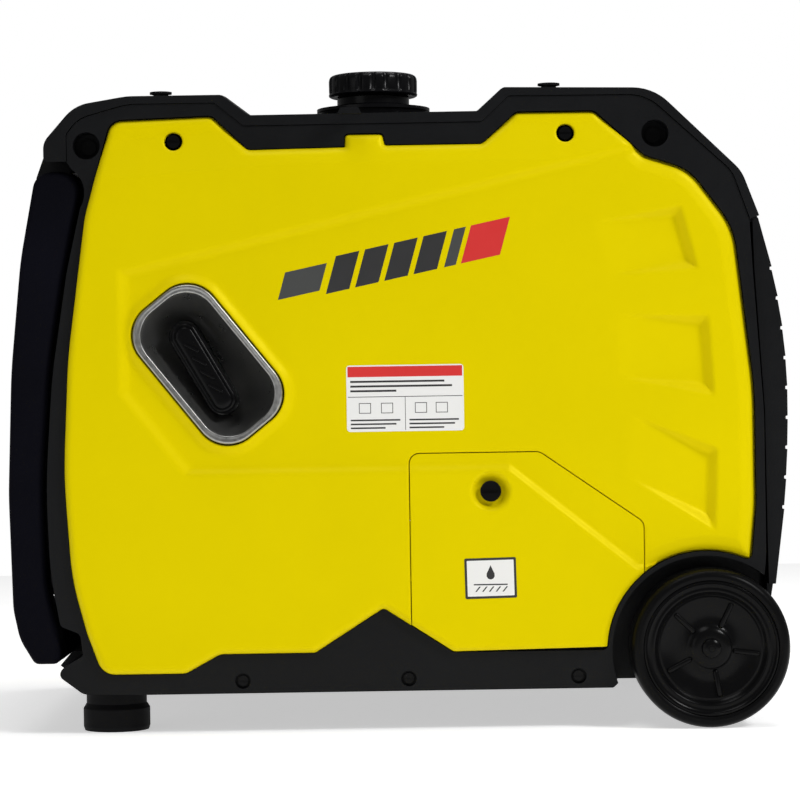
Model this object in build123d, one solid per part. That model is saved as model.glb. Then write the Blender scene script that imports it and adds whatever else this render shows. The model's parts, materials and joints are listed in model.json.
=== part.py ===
from build123d import *
import os
from math import cos, radians, sin

# Portable inverter generator: a suitcase-shaped closed machine on two rear wheels and two front feet,
# with a pull handle folded against its front end.
# +X is the rear (wheel) end, -X the front (control panel) end, -Y the near side with the recoil starter,
# +Y the far side. The origin is on the floor under the middle of the overall box.

os.makedirs("parts", exist_ok=True)

# ---------------------------------------------------------------- driving dimensions (millimetres)
PANEL_Y = 200.0            # outer face of the side panels, from the middle plane
PANEL_DEPTH = 12.0         # how far a side panel's edge reaches inwards
PLATEAU_DEPTH = 3.5        # recessed field on a side panel
SKIN = 3.0                 # usual wall of a moulded part
SEAM = 0.4                 # gap between two fixed mouldings
FRAME_Y = 194.0            # outer face of the side frames
FRAME_INNER_Y = 150.0      # inner edge of the side frames
LEDGE_Y = 187.0            # face of the ledge that a side panel rests on
TOP_EDGE_Y = 195.0         # side edge of the top cover
CROWN = 9.5               # rise of the top cover from its side edges to the middle plane

WHEEL_RADIUS = 61.0
WHEEL_X = 236.0
WHEEL_OUTER_Y = 214.0
WHEEL_WIDTH = 40.0
ARCH_CENTRE = (234.5, 58.0)
ARCH_RADIUS = 76.5
AXLE_RADIUS = 6.0
RUNNING_GAP = 0.05         # radial clearance of a shaft in its bore
SPOKES = 5
SPOKE_TURN = 6.0

FOOT_X = -224.0
FOOT_Y = 150.0

PIVOT = (-260.5, 417.0)    # handle pivot
ARM_INNER_Y = 158.0
ARM_OUTER_Y = 190.0
PIN_RADIUS = 5.0
GRIP_HALF = 68.0           # half length of the soft sleeve on the cross bar

CAP_X = -17.0              # fuel filler
CAP_FLUTES = 20
NECK_RADIUS = 26.9
NECK_BORE = 23.0
NECK_TOP_Z = 506.0
TANK_TOP_Z = 458.0

SHAFT_Z = 236.0            # crankshaft height
SHAFT_RADIUS = 12.0
REEL_X = -149.5
REEL_RADIUS = 45.0         # radius at which the starter rope leaves the reel
GRIP_Z = SHAFT_Z + REEL_RADIUS
BOWL_CENTRE = (-145.5, 283.6)
BOWL_TILT = -51.5          # degrees, long axis of the starter recess
BOWL_LENGTH = 127.0
BOWL_WIDTH = 73.0
BOWL_CORNER = 26.0

DOOR_SCREW = (70.0, 183.0)
OIL_CAP = (100.0, 120.0)

PLUGS = ((-179.5, 492.8), (120.0, 494.9))    # x and seat height of the round plugs in the top cover
PLUG_Y = 182.0

REAR_X = 300.0             # outermost point of the rear cover
REAR_BULGE_Z = 250.0
REAR_TOP_Z = 390.0
REAR_LOW_Z = 108.0
REAR_HALF = 188.0
REAR_SKIRT_Z = 93.0
REAR_SKIRT_HALF = 172.0
LOUVRE_TOP_Z = 351.0
LOUVRE_PITCH = 23.0
LOUVRE_COUNT = 9
TAILPIPE_Y = 90.0
TAILPIPE_Z = 177.0

CONTROL_X = -262.0         # outer face of the control panel plate
OUTLET_Y = (-62.0, 0.0)
OUTLET_Z = 175.0
OUTLET_HALF = 27.0
DC_OUTLET = (84.0, 215.0)  # y and z
BREAKER_Y = (42.0, 66.0)
BREAKER_Z = 160.0
KNOB_Z = 345.0
KNOB_Y = 66.0
ROCKER_Z = 268.0
START_Y = 66.0
START_Z = 285.0
LENS_Y = -50.0
LENS_Z = 345.0

SERVICE_X = -60.0          # cover over the air filter, on the far side
SERVICE_Z = 205.0
SERVICE_SCREW_X = (-125.0, 5.0)

FRAME_SCREWS = [(-236.5, 453), (200.5, 456)]     # x and z of every screw of one side
PANEL_SCREWS = [(-169.5, 455), (131.5, 457)]
SKIRT_SCREWS = [(-122.5, 40), (5, 40), (135.5, 40)]


# ---------------------------------------------------------------- helpers
def rounded_face(corners):
    """Closed face whose (x, z, radius) corners are each turned by an arc of that radius."""
    points = [(x, z) for x, z, _ in corners]
    radii = [radius for _, _, radius in corners]
    return make_face(FilletPolyline(*points, radius=radii, close=True))


def disc(radius, x, z):
    """Round face at x, z."""
    return Pos(x, z) * Circle(radius)


def across(face, y_low, y_high):
    """Extrude a face drawn in x and z between two y planes."""
    return Pos(0, y_high, 0) * extrude(Plane.XZ * face, amount=y_high - y_low, dir=(0, -1, 0))


def along_x(face, x_low, x_high):
    """Extrude a face drawn in y and z between two x planes."""
    return Pos(x_low, 0, 0) * extrude(Plane.YZ * face, amount=x_high - x_low, dir=(1, 0, 0))


def block(x_low, x_high, y_low, y_high, z_low, z_high):
    """Box between two corners."""
    centre = Pos((x_low + x_high) / 2, (y_low + y_high) / 2, (z_low + z_high) / 2)
    return centre * Box(x_high - x_low, y_high - y_low, z_high - z_low)


def rod_x(radius, x_low, x_high, y, z):
    return Pos((x_low + x_high) / 2, y, z) * Rot(0, 90, 0) * Cylinder(radius, x_high - x_low)


def rod_y(radius, y_low, y_high, x, z):
    return Pos(x, (y_low + y_high) / 2, z) * Rot(90, 0, 0) * Cylinder(radius, y_high - y_low)


def rod_z(radius, z_low, z_high, x, y):
    return Pos(x, y, (z_low + z_high) / 2) * Cylinder(radius, z_high - z_low)


def turned_y(profile, x, z):
    """Solid of revolution about an axis along Y; the profile holds (radius, y) points."""
    return Pos(x, 0, z) * revolve(make_face(Polyline(*profile, close=True)), Axis.Y)


def turned_z(profile, x, y):
    """Solid of revolution about an axis along Z; the profile holds (radius, z) points."""
    face = Plane.XZ * make_face(Polyline(*profile, close=True))
    return Pos(x, y, 0) * revolve(face, Axis.Z)


def turned_x(profile, y, z):
    """Solid of revolution about an axis along X; the profile holds (x, radius) points."""
    return Pos(0, y, z) * revolve(make_face(Polyline(*profile, close=True)), Axis.X)


def far_side(shape):
    """The same piece mirrored to the far side."""
    return shape.mirror(Plane.XZ)


def save(name, *pieces):
    """Write one node, a single solid or a group of separate solids."""
    shape = pieces[0] if len(pieces) == 1 else Compound(list(pieces))
    export_step(shape, f"parts/{name}.step")


# ---------------------------------------------------------------- side outlines, (x, z, corner radius)
TOP_LINE = [
    (-269.5, 441, 4), (-269.5, 456, 14), (-245, 484, 30), (-205, 490.5, 60), (-132.5, 490.5, 4),
    (-111.5, 474.5, 4), (64.5, 475, 4), (84.5, 493, 4), (199.5, 491, 40), (266.5, 426, 30), (279.5, 391.5, 0),
]
PARTING_LINE = [
    (272.5, 389, 0), (259.5, 426, 25), (194, 486, 35), (88.5, 486.5, 4), (67.5, 467, 4), (-115.5, 466.5, 4),
    (-137.5, 484.5, 4), (-205, 484.5, 50), (-243, 474, 25), (-252, 462, 5), (-252, 441, 0),
]
FRAME_SIDES = [
    (-238.5, 420, 0), (-253, 356, 200), (-265.5, 275, 400), (-271.5, 190, 500), (-269, 125, 200), (-262, 84, 5),
    (-247, 78, 5), (-245, 61, 3), (-259.5, 53, 3), (-265, 46.5, 5), (-245, 31.5, 10), (-196, 30.5, 20),
    (162, 30.5, 2), (167, 35, 2), (270, 35, 12), (281, 130, 150), (281, 240, 300), (274, 350, 200),
]
PANEL_LINE = [
    (-230, 46.5, 14), (-166, 46.5, 12), (-139.5, 61, 12), (-66.5, 61, 6), (-13.5, 94.5, 4), (39.5, 60, 5),
    (234.5, 60, 0), (266, 90, 0), (274, 170, 150), (274, 258, 300), (260, 383, 60), (226.5, 428, 40),
    (192.5, 439, 8), (154, 474, 8), (94, 474, 6), (67.5, 450, 6), (-7, 450, 1), (-8.5, 459, 3),
    (-38, 459, 3), (-38, 449, 1), (-112.5, 448, 6), (-140, 474.5, 8), (-218, 472, 12), (-238.5, 398, 80),
    (-253, 290, 400), (-257.5, 200, 400), (-252.5, 120, 200), (-241.5, 78, 60),
]
DOOR_LINE = [(7.5, 30, 0), (7.5, 213, 8), (108, 213, 10), (187.5, 157.5, 8), (187.5, 30, 0)]
PLATEAU_LINE = [
    (-211, 267, 12), (-169.5, 200, 8), (77, 200, 4), (176, 120, 4), (276, 120, 0), (276, 436, 0),
    (121, 436, 6), (-209, 357, 8),
]
WEDGES = [
    [(151, 388), (219.5, 400.5), (232.5, 351), (165.5, 347)],
    [(170.5, 317), (239.5, 315.5), (243.5, 253.5), (169.5, 269)],
    [(179.5, 239), (245, 213.5), (242.5, 149.5), (174.5, 193)],
]
ARM_LINE = [
    (-280, 417, 0), (-289.5, 366, 300), (-298, 280, 500), (-301.6, 185, 300), (-299, 95, 50), (-282, 54.5, 8),
    (-264, 54.5, 4), (-260, 61, 3), (-264.5, 80, 12), (-273, 115, 100), (-274.5, 190, 400), (-267, 290, 400),
    (-258, 343, 200), (-243.5, 417, 0),
]
BEZEL_LINE = [
    (-253, 440, 1.5), (-272, 440, 3), (-281, 414, 16), (-286, 300, 300), (-289, 200, 300), (-285, 112, 14),
    (-262, 100, 8), (-248, 92, 6), (-246, 62, 3), (-258.5, 54.5, 2), (-263, 47.5, 3), (-243, 33.5, 1),
    (-241, 37.5, 1), (-257, 48.5, 1.5), (-255, 52, 1), (-242.5, 59.5, 2), (-244.5, 94, 8), (-260, 103.5, 8),
    (-281, 115, 10), (-285, 200, 300), (-282, 300, 300), (-277, 413, 12), (-269, 436, 2), (-253, 436, 1.5),
]


def panel_outline():
    """Side panel outline with the wheel arch taken out and the arch's two corners rounded."""
    face = rounded_face(PANEL_LINE) - disc(ARCH_RADIUS, *ARCH_CENTRE)
    arch_ends = [(156.6, 60), (269, 127.9)]
    for end in arch_ends:
        corner = face.vertices().sort_by_distance((end[0], end[1], 0))[0]
        face = fillet(corner, 4)
    return face


PANEL_FACE = panel_outline()
FRAME_FACE = rounded_face([(x * 0.9985, z - SEAM, r) for x, z, r in PARTING_LINE] + FRAME_SIDES)
DOOR_OPENING = PANEL_FACE & rounded_face(DOOR_LINE)
STARTER_OPENING = Pos(*BOWL_CENTRE) * Rot(0, 0, BOWL_TILT) * RectangleRounded(BOWL_LENGTH, BOWL_WIDTH, BOWL_CORNER)
SERVICE_OPENING = Pos(SERVICE_X, SERVICE_Z) * RectangleRounded(170, 120, 12)


# ---------------------------------------------------------------- casing
def side_frame():
    """Black ring moulding around a side panel, with the wheel well, screw tubes and the handle's pivot ear."""
    pivot_recess = disc(22, *PIVOT)
    shell = across(FRAME_FACE, -FRAME_Y, -FRAME_INNER_Y)
    shell -= across(offset(FRAME_FACE, -SKIN), -FRAME_Y + SKIN, -FRAME_INNER_Y + 1)
    shell -= across(offset(PANEL_FACE, SEAM), -FRAME_Y - 1, -FRAME_INNER_Y)
    lip = offset(PANEL_FACE, SEAM + 2.4) - offset(PANEL_FACE, SEAM)
    shell += across(lip, -FRAME_Y, -LEDGE_Y + 3)
    ledge = offset(PANEL_FACE, SEAM + 2.4) - offset(PANEL_FACE, -9)
    shell += across(ledge, -LEDGE_Y, -LEDGE_Y + 3)
    well_wall = (disc(75.8, *ARCH_CENTRE) - disc(72.8, *ARCH_CENTRE)) & FRAME_FACE
    shell += across(well_wall, -FRAME_Y, -166)
    well_back = disc(75.8, *ARCH_CENTRE) & FRAME_FACE
    shell -= across(disc(72.8, *ARCH_CENTRE), -FRAME_Y - 1, -168)
    shell += across(well_back, -168, -165)
    shell -= rod_y(7, -170, -160, WHEEL_X, WHEEL_RADIUS)
    shell -= across(pivot_recess, -FRAME_Y - 1, -155)
    ear = disc(15, *PIVOT) + Pos(-248, PIVOT[1]) * Rectangle(26, 24)
    shell += across(ear, -155, -FRAME_INNER_Y)
    shell -= rod_y(PIN_RADIUS + RUNNING_GAP, -156, -149, *PIVOT)
    for x, z in FRAME_SCREWS:
        shell += rod_y(12, -FRAME_Y, -172, x, z)
        shell -= rod_y(10.5, -FRAME_Y - 1, -174, x, z)
    for x, z in SKIRT_SCREWS:
        shell += rod_y(7.5, -FRAME_Y, -186, x, z)
        shell -= rod_y(6, -FRAME_Y - 1, -188, x, z)
    return shell


def side_panel(openings):
    """Moulded side panel with its recessed plateau and three wedge pockets; openings are cut through it."""
    panel = across(PANEL_FACE, -PANEL_Y, -PANEL_Y + PANEL_DEPTH)
    panel = chamfer(panel.faces().sort_by(Axis.Y)[0].outer_wire().edges(), 2)
    back = -PANEL_Y + PANEL_DEPTH
    panel -= across(offset(PANEL_FACE, -SKIN), -PANEL_Y + 8, back + 1)
    plateau = rounded_face(PLATEAU_LINE) & offset(PANEL_FACE, -10)
    panel -= across(plateau, -PANEL_Y - 1, -PANEL_Y + PLATEAU_DEPTH)
    proud = offset(PANEL_FACE, -SKIN) - offset(plateau, 4)
    panel -= across(proud, -PANEL_Y + SKIN, back)
    for corners in WEDGES:
        panel -= wedge_pocket(corners)
    for x, z in PANEL_SCREWS:
        panel += rod_y(10, -PANEL_Y + 1, -191, x, z)
        panel -= rod_y(6.8, -PANEL_Y - 1, -192.5, x, z)
    for opening in openings:
        panel -= across(opening, -PANEL_Y - 1, back + 1)
    return panel


def wedge_pocket(corners):
    """Pocket that starts flush with the plateau at its left tips and is deepest at its right end."""
    left = corners[0][0]
    right = max(x for x, _ in corners)
    outline = make_face(Polyline(*corners, close=True))
    plateau_y = -PANEL_Y + PLATEAU_DEPTH
    ramp = make_face(Polyline((left, plateau_y), (right, plateau_y + 3), (right, -PANEL_Y - 1),
                              (left, -PANEL_Y - 1), close=True))
    return across(outline, -PANEL_Y - 1, -PANEL_Y + 8) & extrude(ramp, amount=500)


def crowned(face, half):
    """Loft of a side profile from one side edge over the crown to the other."""
    stations = [(-half, 0), (0, CROWN), (half, 0)]
    return loft([Pos(0, y, rise) * (Plane.XZ * face) for y, rise in stations])


def top_cover():
    """Crowned top cover: the side profile carried over a rise towards the middle, hollow underneath."""
    profile = rounded_face(TOP_LINE + PARTING_LINE)
    cover = crowned(profile, TOP_EDGE_Y)
    underside = crowned(Pos(0, -SKIN) * profile, TOP_EDGE_Y - 6)
    cover -= underside & block(-240, 250, -186, 186, 380, 520)
    cover -= rod_z(34, 460, 520, CAP_X, 0)
    for x, _ in PLUGS:
        cover -= rod_z(6, 470, 520, x, -PLUG_Y)
        cover -= rod_z(6, 470, 520, x, PLUG_Y)
    return cover


def top_plugs():
    """Four round plugs that close the lifting-eye holes in the top cover."""
    return [rod_z(5.8, z - 7, z + 0.2, x, y) + rod_z(8.5, z, z + 1.6, x, y)
            for x, z in PLUGS for y in (-PLUG_Y, PLUG_Y)]


def rear_x(z):
    """Outer face of the rear cover at a height: bulged most at its middle."""
    fall = 956.0 if z > REAR_BULGE_Z else 1800.0
    return REAR_X - (z - REAR_BULGE_Z) ** 2 / fall


def rear_cover():
    """Louvred rear cover: a shallow tray with a groove across it at each louvre and air slots between."""
    outer = [(rear_x(REAR_TOP_Z), REAR_TOP_Z)]
    for number in range(LOUVRE_COUNT):
        z = LOUVRE_TOP_Z - number * LOUVRE_PITCH
        outer += [(rear_x(z) + dx, z + dz) for dx, dz in ((0, 1.5), (-1.5, 1), (-1.5, -1), (0, -1.5))]
    outer += [(rear_x(REAR_LOW_Z), REAR_LOW_Z)]
    inner = [(283.5, REAR_LOW_Z), (283, 150), (282.5, 242), (276, 350), (275, REAR_TOP_Z)]
    cover = across(make_face(Polyline(*outer, *inner, close=True)), -REAR_HALF, REAR_HALF)
    hollow = [(rear_x(z) - 6, z) for z in (112, 150, 200, 250, 300, 350, 384)]
    cover -= across(make_face(Polyline(*hollow, (265, 384), (265, 112), close=True)), -184, 184)
    for number in range(LOUVRE_COUNT):
        z = LOUVRE_TOP_Z - number * LOUVRE_PITCH
        for middle in (-78, 78):
            cover -= block(280, 305, middle - 66, middle + 66, z - 14, z - 6)
    cheek = make_face(Polyline(*[(x + 1, z) for x, z in hollow], (270, 384), (270, 112), close=True))
    cover += across(cheek, -149, -145)
    cover += across(cheek, 145, 149)
    cover += block(262, 276, -149, 149, 384, 390) + rear_closure()
    cover += block(266, 269, -149, 149, 112, 390) + rear_skirt()
    return cover - rod_x(24, 250, 305, TAILPIPE_Y, TAILPIPE_Z)


def rear_skirt():
    """Lower lip of the rear cover between the wheels."""
    edge = [(rear_x(z), z) for z in (REAR_LOW_Z + 6, 104, 98, REAR_SKIRT_Z)]
    middle = make_face(Polyline(*edge, (272, REAR_SKIRT_Z), (265, 114), close=True))
    wing = make_face(Polyline(*edge, (283.8, REAR_SKIRT_Z), (283.8, 114), close=True))
    return across(middle, -149, 149) + across(wing, -REAR_SKIRT_HALF, REAR_SKIRT_HALF)


def rear_closure():
    """Upright plate that follows the crown of the top cover and shuts the gap under its rear edge."""
    outline = [(-149, 380), (149, 380), (149, 410), (75, 413.5), (0, 415), (-75, 413.5), (-149, 410)]
    return along_x(make_face(Polyline(*outline, close=True)), 262, 266)


def base_tray():
    """Pressed steel base with upturned flanges, a rear wall and two brackets that carry the axle."""
    tray = block(-236, 262, -147, 147, 36, 39)
    for side in (-1, 1):
        tray += block(-236, 262, side * 145.5 - 1.5, side * 145.5 + 1.5, 36, 55)
        tray += block(WHEEL_X - 14, WHEEL_X + 14, side * 120 - 6, side * 120 + 6, 38, 76)
    tray += block(261, 264, -147, 147, 36, 106)
    return tray - rod_y(AXLE_RADIUS + RUNNING_GAP, -160, 160, WHEEL_X, WHEEL_RADIUS)


def front_bezel():
    """Front end moulding: a curved skin with the control panel's window and a hand recess under it."""
    skin = across(rounded_face(BEZEL_LINE), -145.5, 145.5)
    skin += block(-254, -247, -145.5, 145.5, 436, 440)
    skin += block(-250.5, -247, -145.5, 145.5, 436, 465)
    return skin - block(-300, -258, -112, 112, 134, 396)


def case_screws():
    """Screws of the side frames, side panels, service cover and skirt, seen at the bottom of their holes."""
    screws = []
    for side in (-1, 1):
        for x, z in FRAME_SCREWS:
            screws.append(case_screw(side, -174, 6, x, z))
        for x, z in SKIRT_SCREWS:
            screws.append(case_screw(side, -188, 4, x, z))
        for x, z in PANEL_SCREWS:
            screws.append(case_screw(side, -192.5, 5, x, z))
    for x in SERVICE_SCREW_X:
        screws.append(case_screw(1, -PANEL_Y, 5, x, SERVICE_Z))
    return screws


def case_screw(side, seat_y, head_radius, x, z):
    """Round-headed screw with a slot, standing on its seat."""
    screw = rod_y(head_radius, seat_y - 3, seat_y, x, z)
    screw -= block(x - head_radius, x + head_radius, seat_y - 3.5, seat_y - 2, z - 0.8, z + 0.8)
    return screw if side < 0 else far_side(screw)


def feet():
    """Two rubber feet with a wider flange at the floor."""
    profile = [(0, 0), (25, 0), (26, 3), (26, 17), (23.5, 21), (23.5, 30), (0, 30)]
    return [turned_z(profile, FOOT_X, -FOOT_Y), turned_z(profile, FOOT_X, FOOT_Y)]


# ---------------------------------------------------------------- doors and covers on the side panels
def oil_door():
    """Hinged door over the oil filler, a dished skin with a rim and the dish of its screw."""
    face = offset(DOOR_OPENING, -0.6)
    door = across(face, -PANEL_Y, -PANEL_Y + 9)
    door -= across(offset(face, -SKIN), -PANEL_Y + SKIN, -PANEL_Y + 10)
    door += rod_y(17, -PANEL_Y + 1, -PANEL_Y + 9, *DOOR_SCREW)
    door -= turned_y([(0, -PANEL_Y - 1), (15.3, -PANEL_Y - 1), (9.5, -194), (0, -194)], *DOOR_SCREW)
    door -= rod_y(4.3, -196, -180, *DOOR_SCREW)
    return door


def oil_door_screw():
    """Slotted quarter-turn screw in the dish of the oil door."""
    screw = rod_y(8, -198, -194.3, *DOOR_SCREW) + rod_y(4, -196, -184, *DOOR_SCREW)
    x, z = DOOR_SCREW
    return screw - block(x - 6.5, x + 6.5, -199, -196.2, z - 1.2, z + 1.2)


def service_cover():
    """Screwed cover over the air filter on the far side."""
    face = offset(SERVICE_OPENING, -0.6)
    cover = across(face, -PANEL_Y, -PANEL_Y + 9)
    cover -= across(offset(face, -SKIN), -PANEL_Y + SKIN, -PANEL_Y + 10)
    return far_side(cover)


# ---------------------------------------------------------------- recoil starter
def bowl_face(inset):
    return Pos(*BOWL_CENTRE) * Rot(0, 0, BOWL_TILT) * RectangleRounded(
        BOWL_LENGTH - 2 * inset, BOWL_WIDTH - 2 * inset, BOWL_CORNER - inset)


def starter_bezel():
    """Satin ring round the starter recess."""
    ring = across(bowl_face(0.5), -201.5, -196)
    return ring - across(bowl_face(5.5), -203, -190)


def starter_bowl():
    """Deep cup behind the ring, with the rope hole in its floor."""
    cup = across(bowl_face(0.8), -195.8, -194) + across(bowl_face(3), -195, -160)
    cup -= across(bowl_face(6), -197, -163)
    return cup - rod_y(4, -170, -150, REEL_X, GRIP_Z)


def starter_grip():
    """Pull grip with rounded ends and three raised ribs."""
    place = Pos(REEL_X, GRIP_Z) * Rot(0, 0, -60)
    grip = across(place * RectangleRounded(81, 25, 12), -190, -170)
    grip = chamfer(grip.faces().sort_by(Axis.Y)[0].outer_wire().edges(), 4)
    for shift in (-9, 0, 9):
        rib = place * Pos(shift, 0) * Rot(0, 0, 25) * RectangleRounded(4, 15, 1.9)
        grip += across(rib, -191.5, -189)
    return grip


def starter_rope():
    """Straight end of the starter rope, from the grip to the point where it leaves the reel."""
    return rod_y(2, -170, 0, REEL_X, GRIP_Z)


def starter_reel():
    """Grooved rope reel."""
    profile = [(REEL_X - 6, 14), (REEL_X + 6, 14), (REEL_X + 6, 50), (REEL_X + 4, 50), (REEL_X + 3, 42.6),
               (REEL_X - 3, 42.6), (REEL_X - 4, 50), (REEL_X - 6, 50)]
    return turned_x(profile, 0, SHAFT_Z)


def starter_housing():
    """Dished cover that carries the reel on its stub shaft, open towards the flywheel."""
    cup = rod_x(74, REEL_X - 12, REEL_X + 14, 0, SHAFT_Z) - rod_x(71, REEL_X - 9, REEL_X + 20, 0, SHAFT_Z)
    cup += rod_x(14 - RUNNING_GAP, REEL_X - 10, REEL_X + 8, 0, SHAFT_Z)
    return cup - rod_y(4, -90, -40, REEL_X, GRIP_Z)


# ---------------------------------------------------------------- fuel tank and filler
def fuel_tank():
    """Hollow tank with a round hole for its filler neck."""
    tank = block(-150, 140, -135, 135, 372, TANK_TOP_Z)
    tank = fillet(tank.edges().filter_by(Axis.Z), 25)
    tank -= offset_box(-150, 140, 135, 372, TANK_TOP_Z)
    return tank - rod_z(NECK_RADIUS + 0.1, TANK_TOP_Z - 5, TANK_TOP_Z + 5, CAP_X, 0)


def filler_neck():
    """Tube between the tank and the cap, with a flange on the tank."""
    neck = rod_z(NECK_RADIUS, TANK_TOP_Z - 4, NECK_TOP_Z, CAP_X, 0)
    neck += rod_z(33, TANK_TOP_Z, TANK_TOP_Z + 3, CAP_X, 0)
    return neck - rod_z(NECK_BORE, TANK_TOP_Z - 5, NECK_TOP_Z + 1, CAP_X, 0)


def offset_box(x_low, x_high, half, z_low, z_high):
    inside = block(x_low + SKIN, x_high - SKIN, -half + SKIN, half - SKIN, z_low + SKIN, z_high - SKIN)
    return fillet(inside.edges().filter_by(Axis.Z), 22)


def filler_collar():
    """Flanged collar on the top cover round the filler neck."""
    profile = [(27.6, 485), (44, 485), (45, 494), (47, 494.5), (47, 497), (31, 499), (30, 500), (30, 505.5),
               (27.6, 505.5)]
    return turned_z(profile, CAP_X, 0)


def cap_gasket():
    """Sealing ring under the fuel cap."""
    return turned_z([(23, 506.4), (29, 506.4), (29, 509.2), (23, 509.2)], CAP_X, 0)


def fuel_cap():
    """Knurled screw cap with a domed crown, a ring of flutes and a stepped skirt."""
    profile = [(0, 509.5), (30, 509.5), (30, 507), (35, 507), (37, 508.8), (37, 521), (34.5, 524),
               (20, 525.6), (0, 526.5)]
    cap = turned_z(profile, CAP_X, 0)
    for number in range(CAP_FLUTES):
        angle = radians(360 / CAP_FLUTES * number)
        cap -= rod_z(2.2, 510, 530, CAP_X + 38 * cos(angle), 38 * sin(angle))
    return cap


# ---------------------------------------------------------------- control end
def control_panel():
    """Plate that carries the controls, with a hole or seat for each."""
    plate = block(CONTROL_X, CONTROL_X + 6, -118, 118, 128, 402)
    plate -= rod_x(8, -270, -250, KNOB_Y, KNOB_Z)
    plate -= rod_x(9.4, -270, -250, START_Y, START_Z)
    plate -= block(-270, -250, -12, 12, ROCKER_Z - 17, ROCKER_Z + 17)
    plate -= block(-270, -250, LENS_Y - 40, LENS_Y + 40, LENS_Z - 24, LENS_Z + 24)
    for y in BREAKER_Y:
        plate -= rod_x(6.4, -270, -250, y, BREAKER_Z)
    return plate


def display_lens():
    """Clear window of the output display."""
    return block(CONTROL_X - 2, CONTROL_X + 4, LENS_Y - 39.8, LENS_Y + 39.8, LENS_Z - 23.8, LENS_Z + 23.8)


def engine_switch_knob():
    """Rotary fuel and ignition knob with a raised bar."""
    knob = rod_x(24, CONTROL_X - 9, CONTROL_X - 0.6, KNOB_Y, KNOB_Z)
    knob += rod_x(7.6, CONTROL_X - 2, CONTROL_X + 5, KNOB_Y, KNOB_Z)
    return knob + block(CONTROL_X - 18, CONTROL_X - 8, KNOB_Y - 5, KNOB_Y + 5, KNOB_Z - 22, KNOB_Z + 22)


def eco_rocker():
    """Rocker switch with a short pivot stub at each side."""
    tilted = Rot(0, 7, 0) * Box(9, 22, 30)
    return Pos(CONTROL_X + 1.5, 0, ROCKER_Z) * tilted + rod_y(2, -11.6, 11.6, CONTROL_X + 1.5, ROCKER_Z)


def start_button():
    """Round electric start button."""
    return rod_x(9, CONTROL_X - 5, CONTROL_X + 10, START_Y, START_Z)


def breaker_button(y):
    """Reset button of a circuit breaker."""
    return rod_x(6, CONTROL_X - 5, CONTROL_X + 8, y, BREAKER_Z)


def power_outlets():
    """Two mains sockets with a round recess and three contact slots each, and the low-voltage socket."""
    dc_y, dc_z = DC_OUTLET
    low_voltage = rod_x(17, CONTROL_X - 5, CONTROL_X - 0.2, dc_y, dc_z)
    low_voltage -= rod_x(10.5, CONTROL_X - 6, CONTROL_X - 1.5, dc_y, dc_z)
    sockets = [low_voltage]
    for y in OUTLET_Y:
        body = block(CONTROL_X - 8, CONTROL_X - 0.2, y - OUTLET_HALF, y + OUTLET_HALF,
                     OUTLET_Z - OUTLET_HALF, OUTLET_Z + OUTLET_HALF)
        body -= rod_x(21, CONTROL_X - 9, CONTROL_X - 4, y, OUTLET_Z)
        body -= block(CONTROL_X - 9, CONTROL_X - 1.5, y - 8, y - 6, OUTLET_Z - 1, OUTLET_Z + 8)
        body -= block(CONTROL_X - 9, CONTROL_X - 1.5, y + 6, y + 8, OUTLET_Z - 1, OUTLET_Z + 8)
        body -= rod_x(2.6, CONTROL_X - 9, CONTROL_X - 1.5, y, OUTLET_Z - 8)
        sockets.append(body)
    return sockets


def inverter_module():
    """Finned aluminium inverter behind the control panel."""
    module = block(-240, -205, -100, 100, 62, 190)
    for number in range(12):
        y = -93 + number * 17
        module -= block(-214, -204, y - 5, y + 5, 60, 192)
    return module


# ---------------------------------------------------------------- engine and alternator
def crankcase():
    """Hollow crankcase with bearing bores, the oil filler boss and the cylinder flange."""
    case = block(-62, 68, -62, 60, 172, 300) - block(-54, 60, -54, 52, 180, 292)
    case += rod_x(32, -74, -54, 0, SHAFT_Z) + rod_x(32, 60, 76, 0, SHAFT_Z)
    case -= rod_x(26, -75, 77, 0, SHAFT_Z)
    case += block(62, 136, -60, -20, 176, 200)
    boss = rod_y(15, -150, -40, OIL_CAP[0], 186)
    return case + boss - rod_y(10, -151, -100, OIL_CAP[0], 186)


def oil_filler_cap():
    """Screwed oil filler cap with a finger bar, on the end of its boss."""
    x = OIL_CAP[0]
    cap = rod_y(18, -158, -150.4, x, 186) + rod_y(9.4, -151, -130, x, 186)
    return cap + block(x - 14, x + 14, -168, -157, 183, 189)


def main_bearings():
    """Two ball bearings, drawn as plain rings, that carry the crankshaft."""
    return [rod_x(26, low, low + 16, 0, SHAFT_Z) - rod_x(SHAFT_RADIUS + RUNNING_GAP, low - 1, low + 17, 0, SHAFT_Z)
            for low in (-74, 60)]


def crankshaft():
    """Crankshaft with two webs and a crankpin."""
    shaft = rod_x(SHAFT_RADIUS, -128, -14, 0, SHAFT_Z) + rod_x(SHAFT_RADIUS, 14, 78, 0, SHAFT_Z)
    shaft += rod_x(34, -24, -14, 0, SHAFT_Z) + rod_x(34, 14, 24, 0, SHAFT_Z)
    return shaft + rod_x(10, -15, 15, 0, SHAFT_Z + 20)


def flywheel_rotor():
    """Cup-shaped magnet rotor with cooling fan blades on its outer face."""
    cup = rod_x(62, -122, -84, 0, SHAFT_Z) - rod_x(56, -117, -80, 0, SHAFT_Z)
    for number in range(12):
        angle = 30 * number
        blade = block(-132, -121, 28, 61, -1.5, 1.5)
        cup += Pos(0, 0, SHAFT_Z) * Rot(angle, 0, 0) * blade
    return cup - rod_x(SHAFT_RADIUS, -130, -110, 0, SHAFT_Z)


def stator():
    """Ring of stator coils fixed to the crankcase inside the rotor."""
    ring = rod_x(34, -112, -74.2, 0, SHAFT_Z) - rod_x(20, -113, -73, 0, SHAFT_Z)
    for number in range(12):
        coil = block(-112, -90, 33, 53, -6, 6)
        ring += Pos(0, 0, SHAFT_Z) * Rot(30 * number, 0, 0) * coil
    return ring


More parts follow.
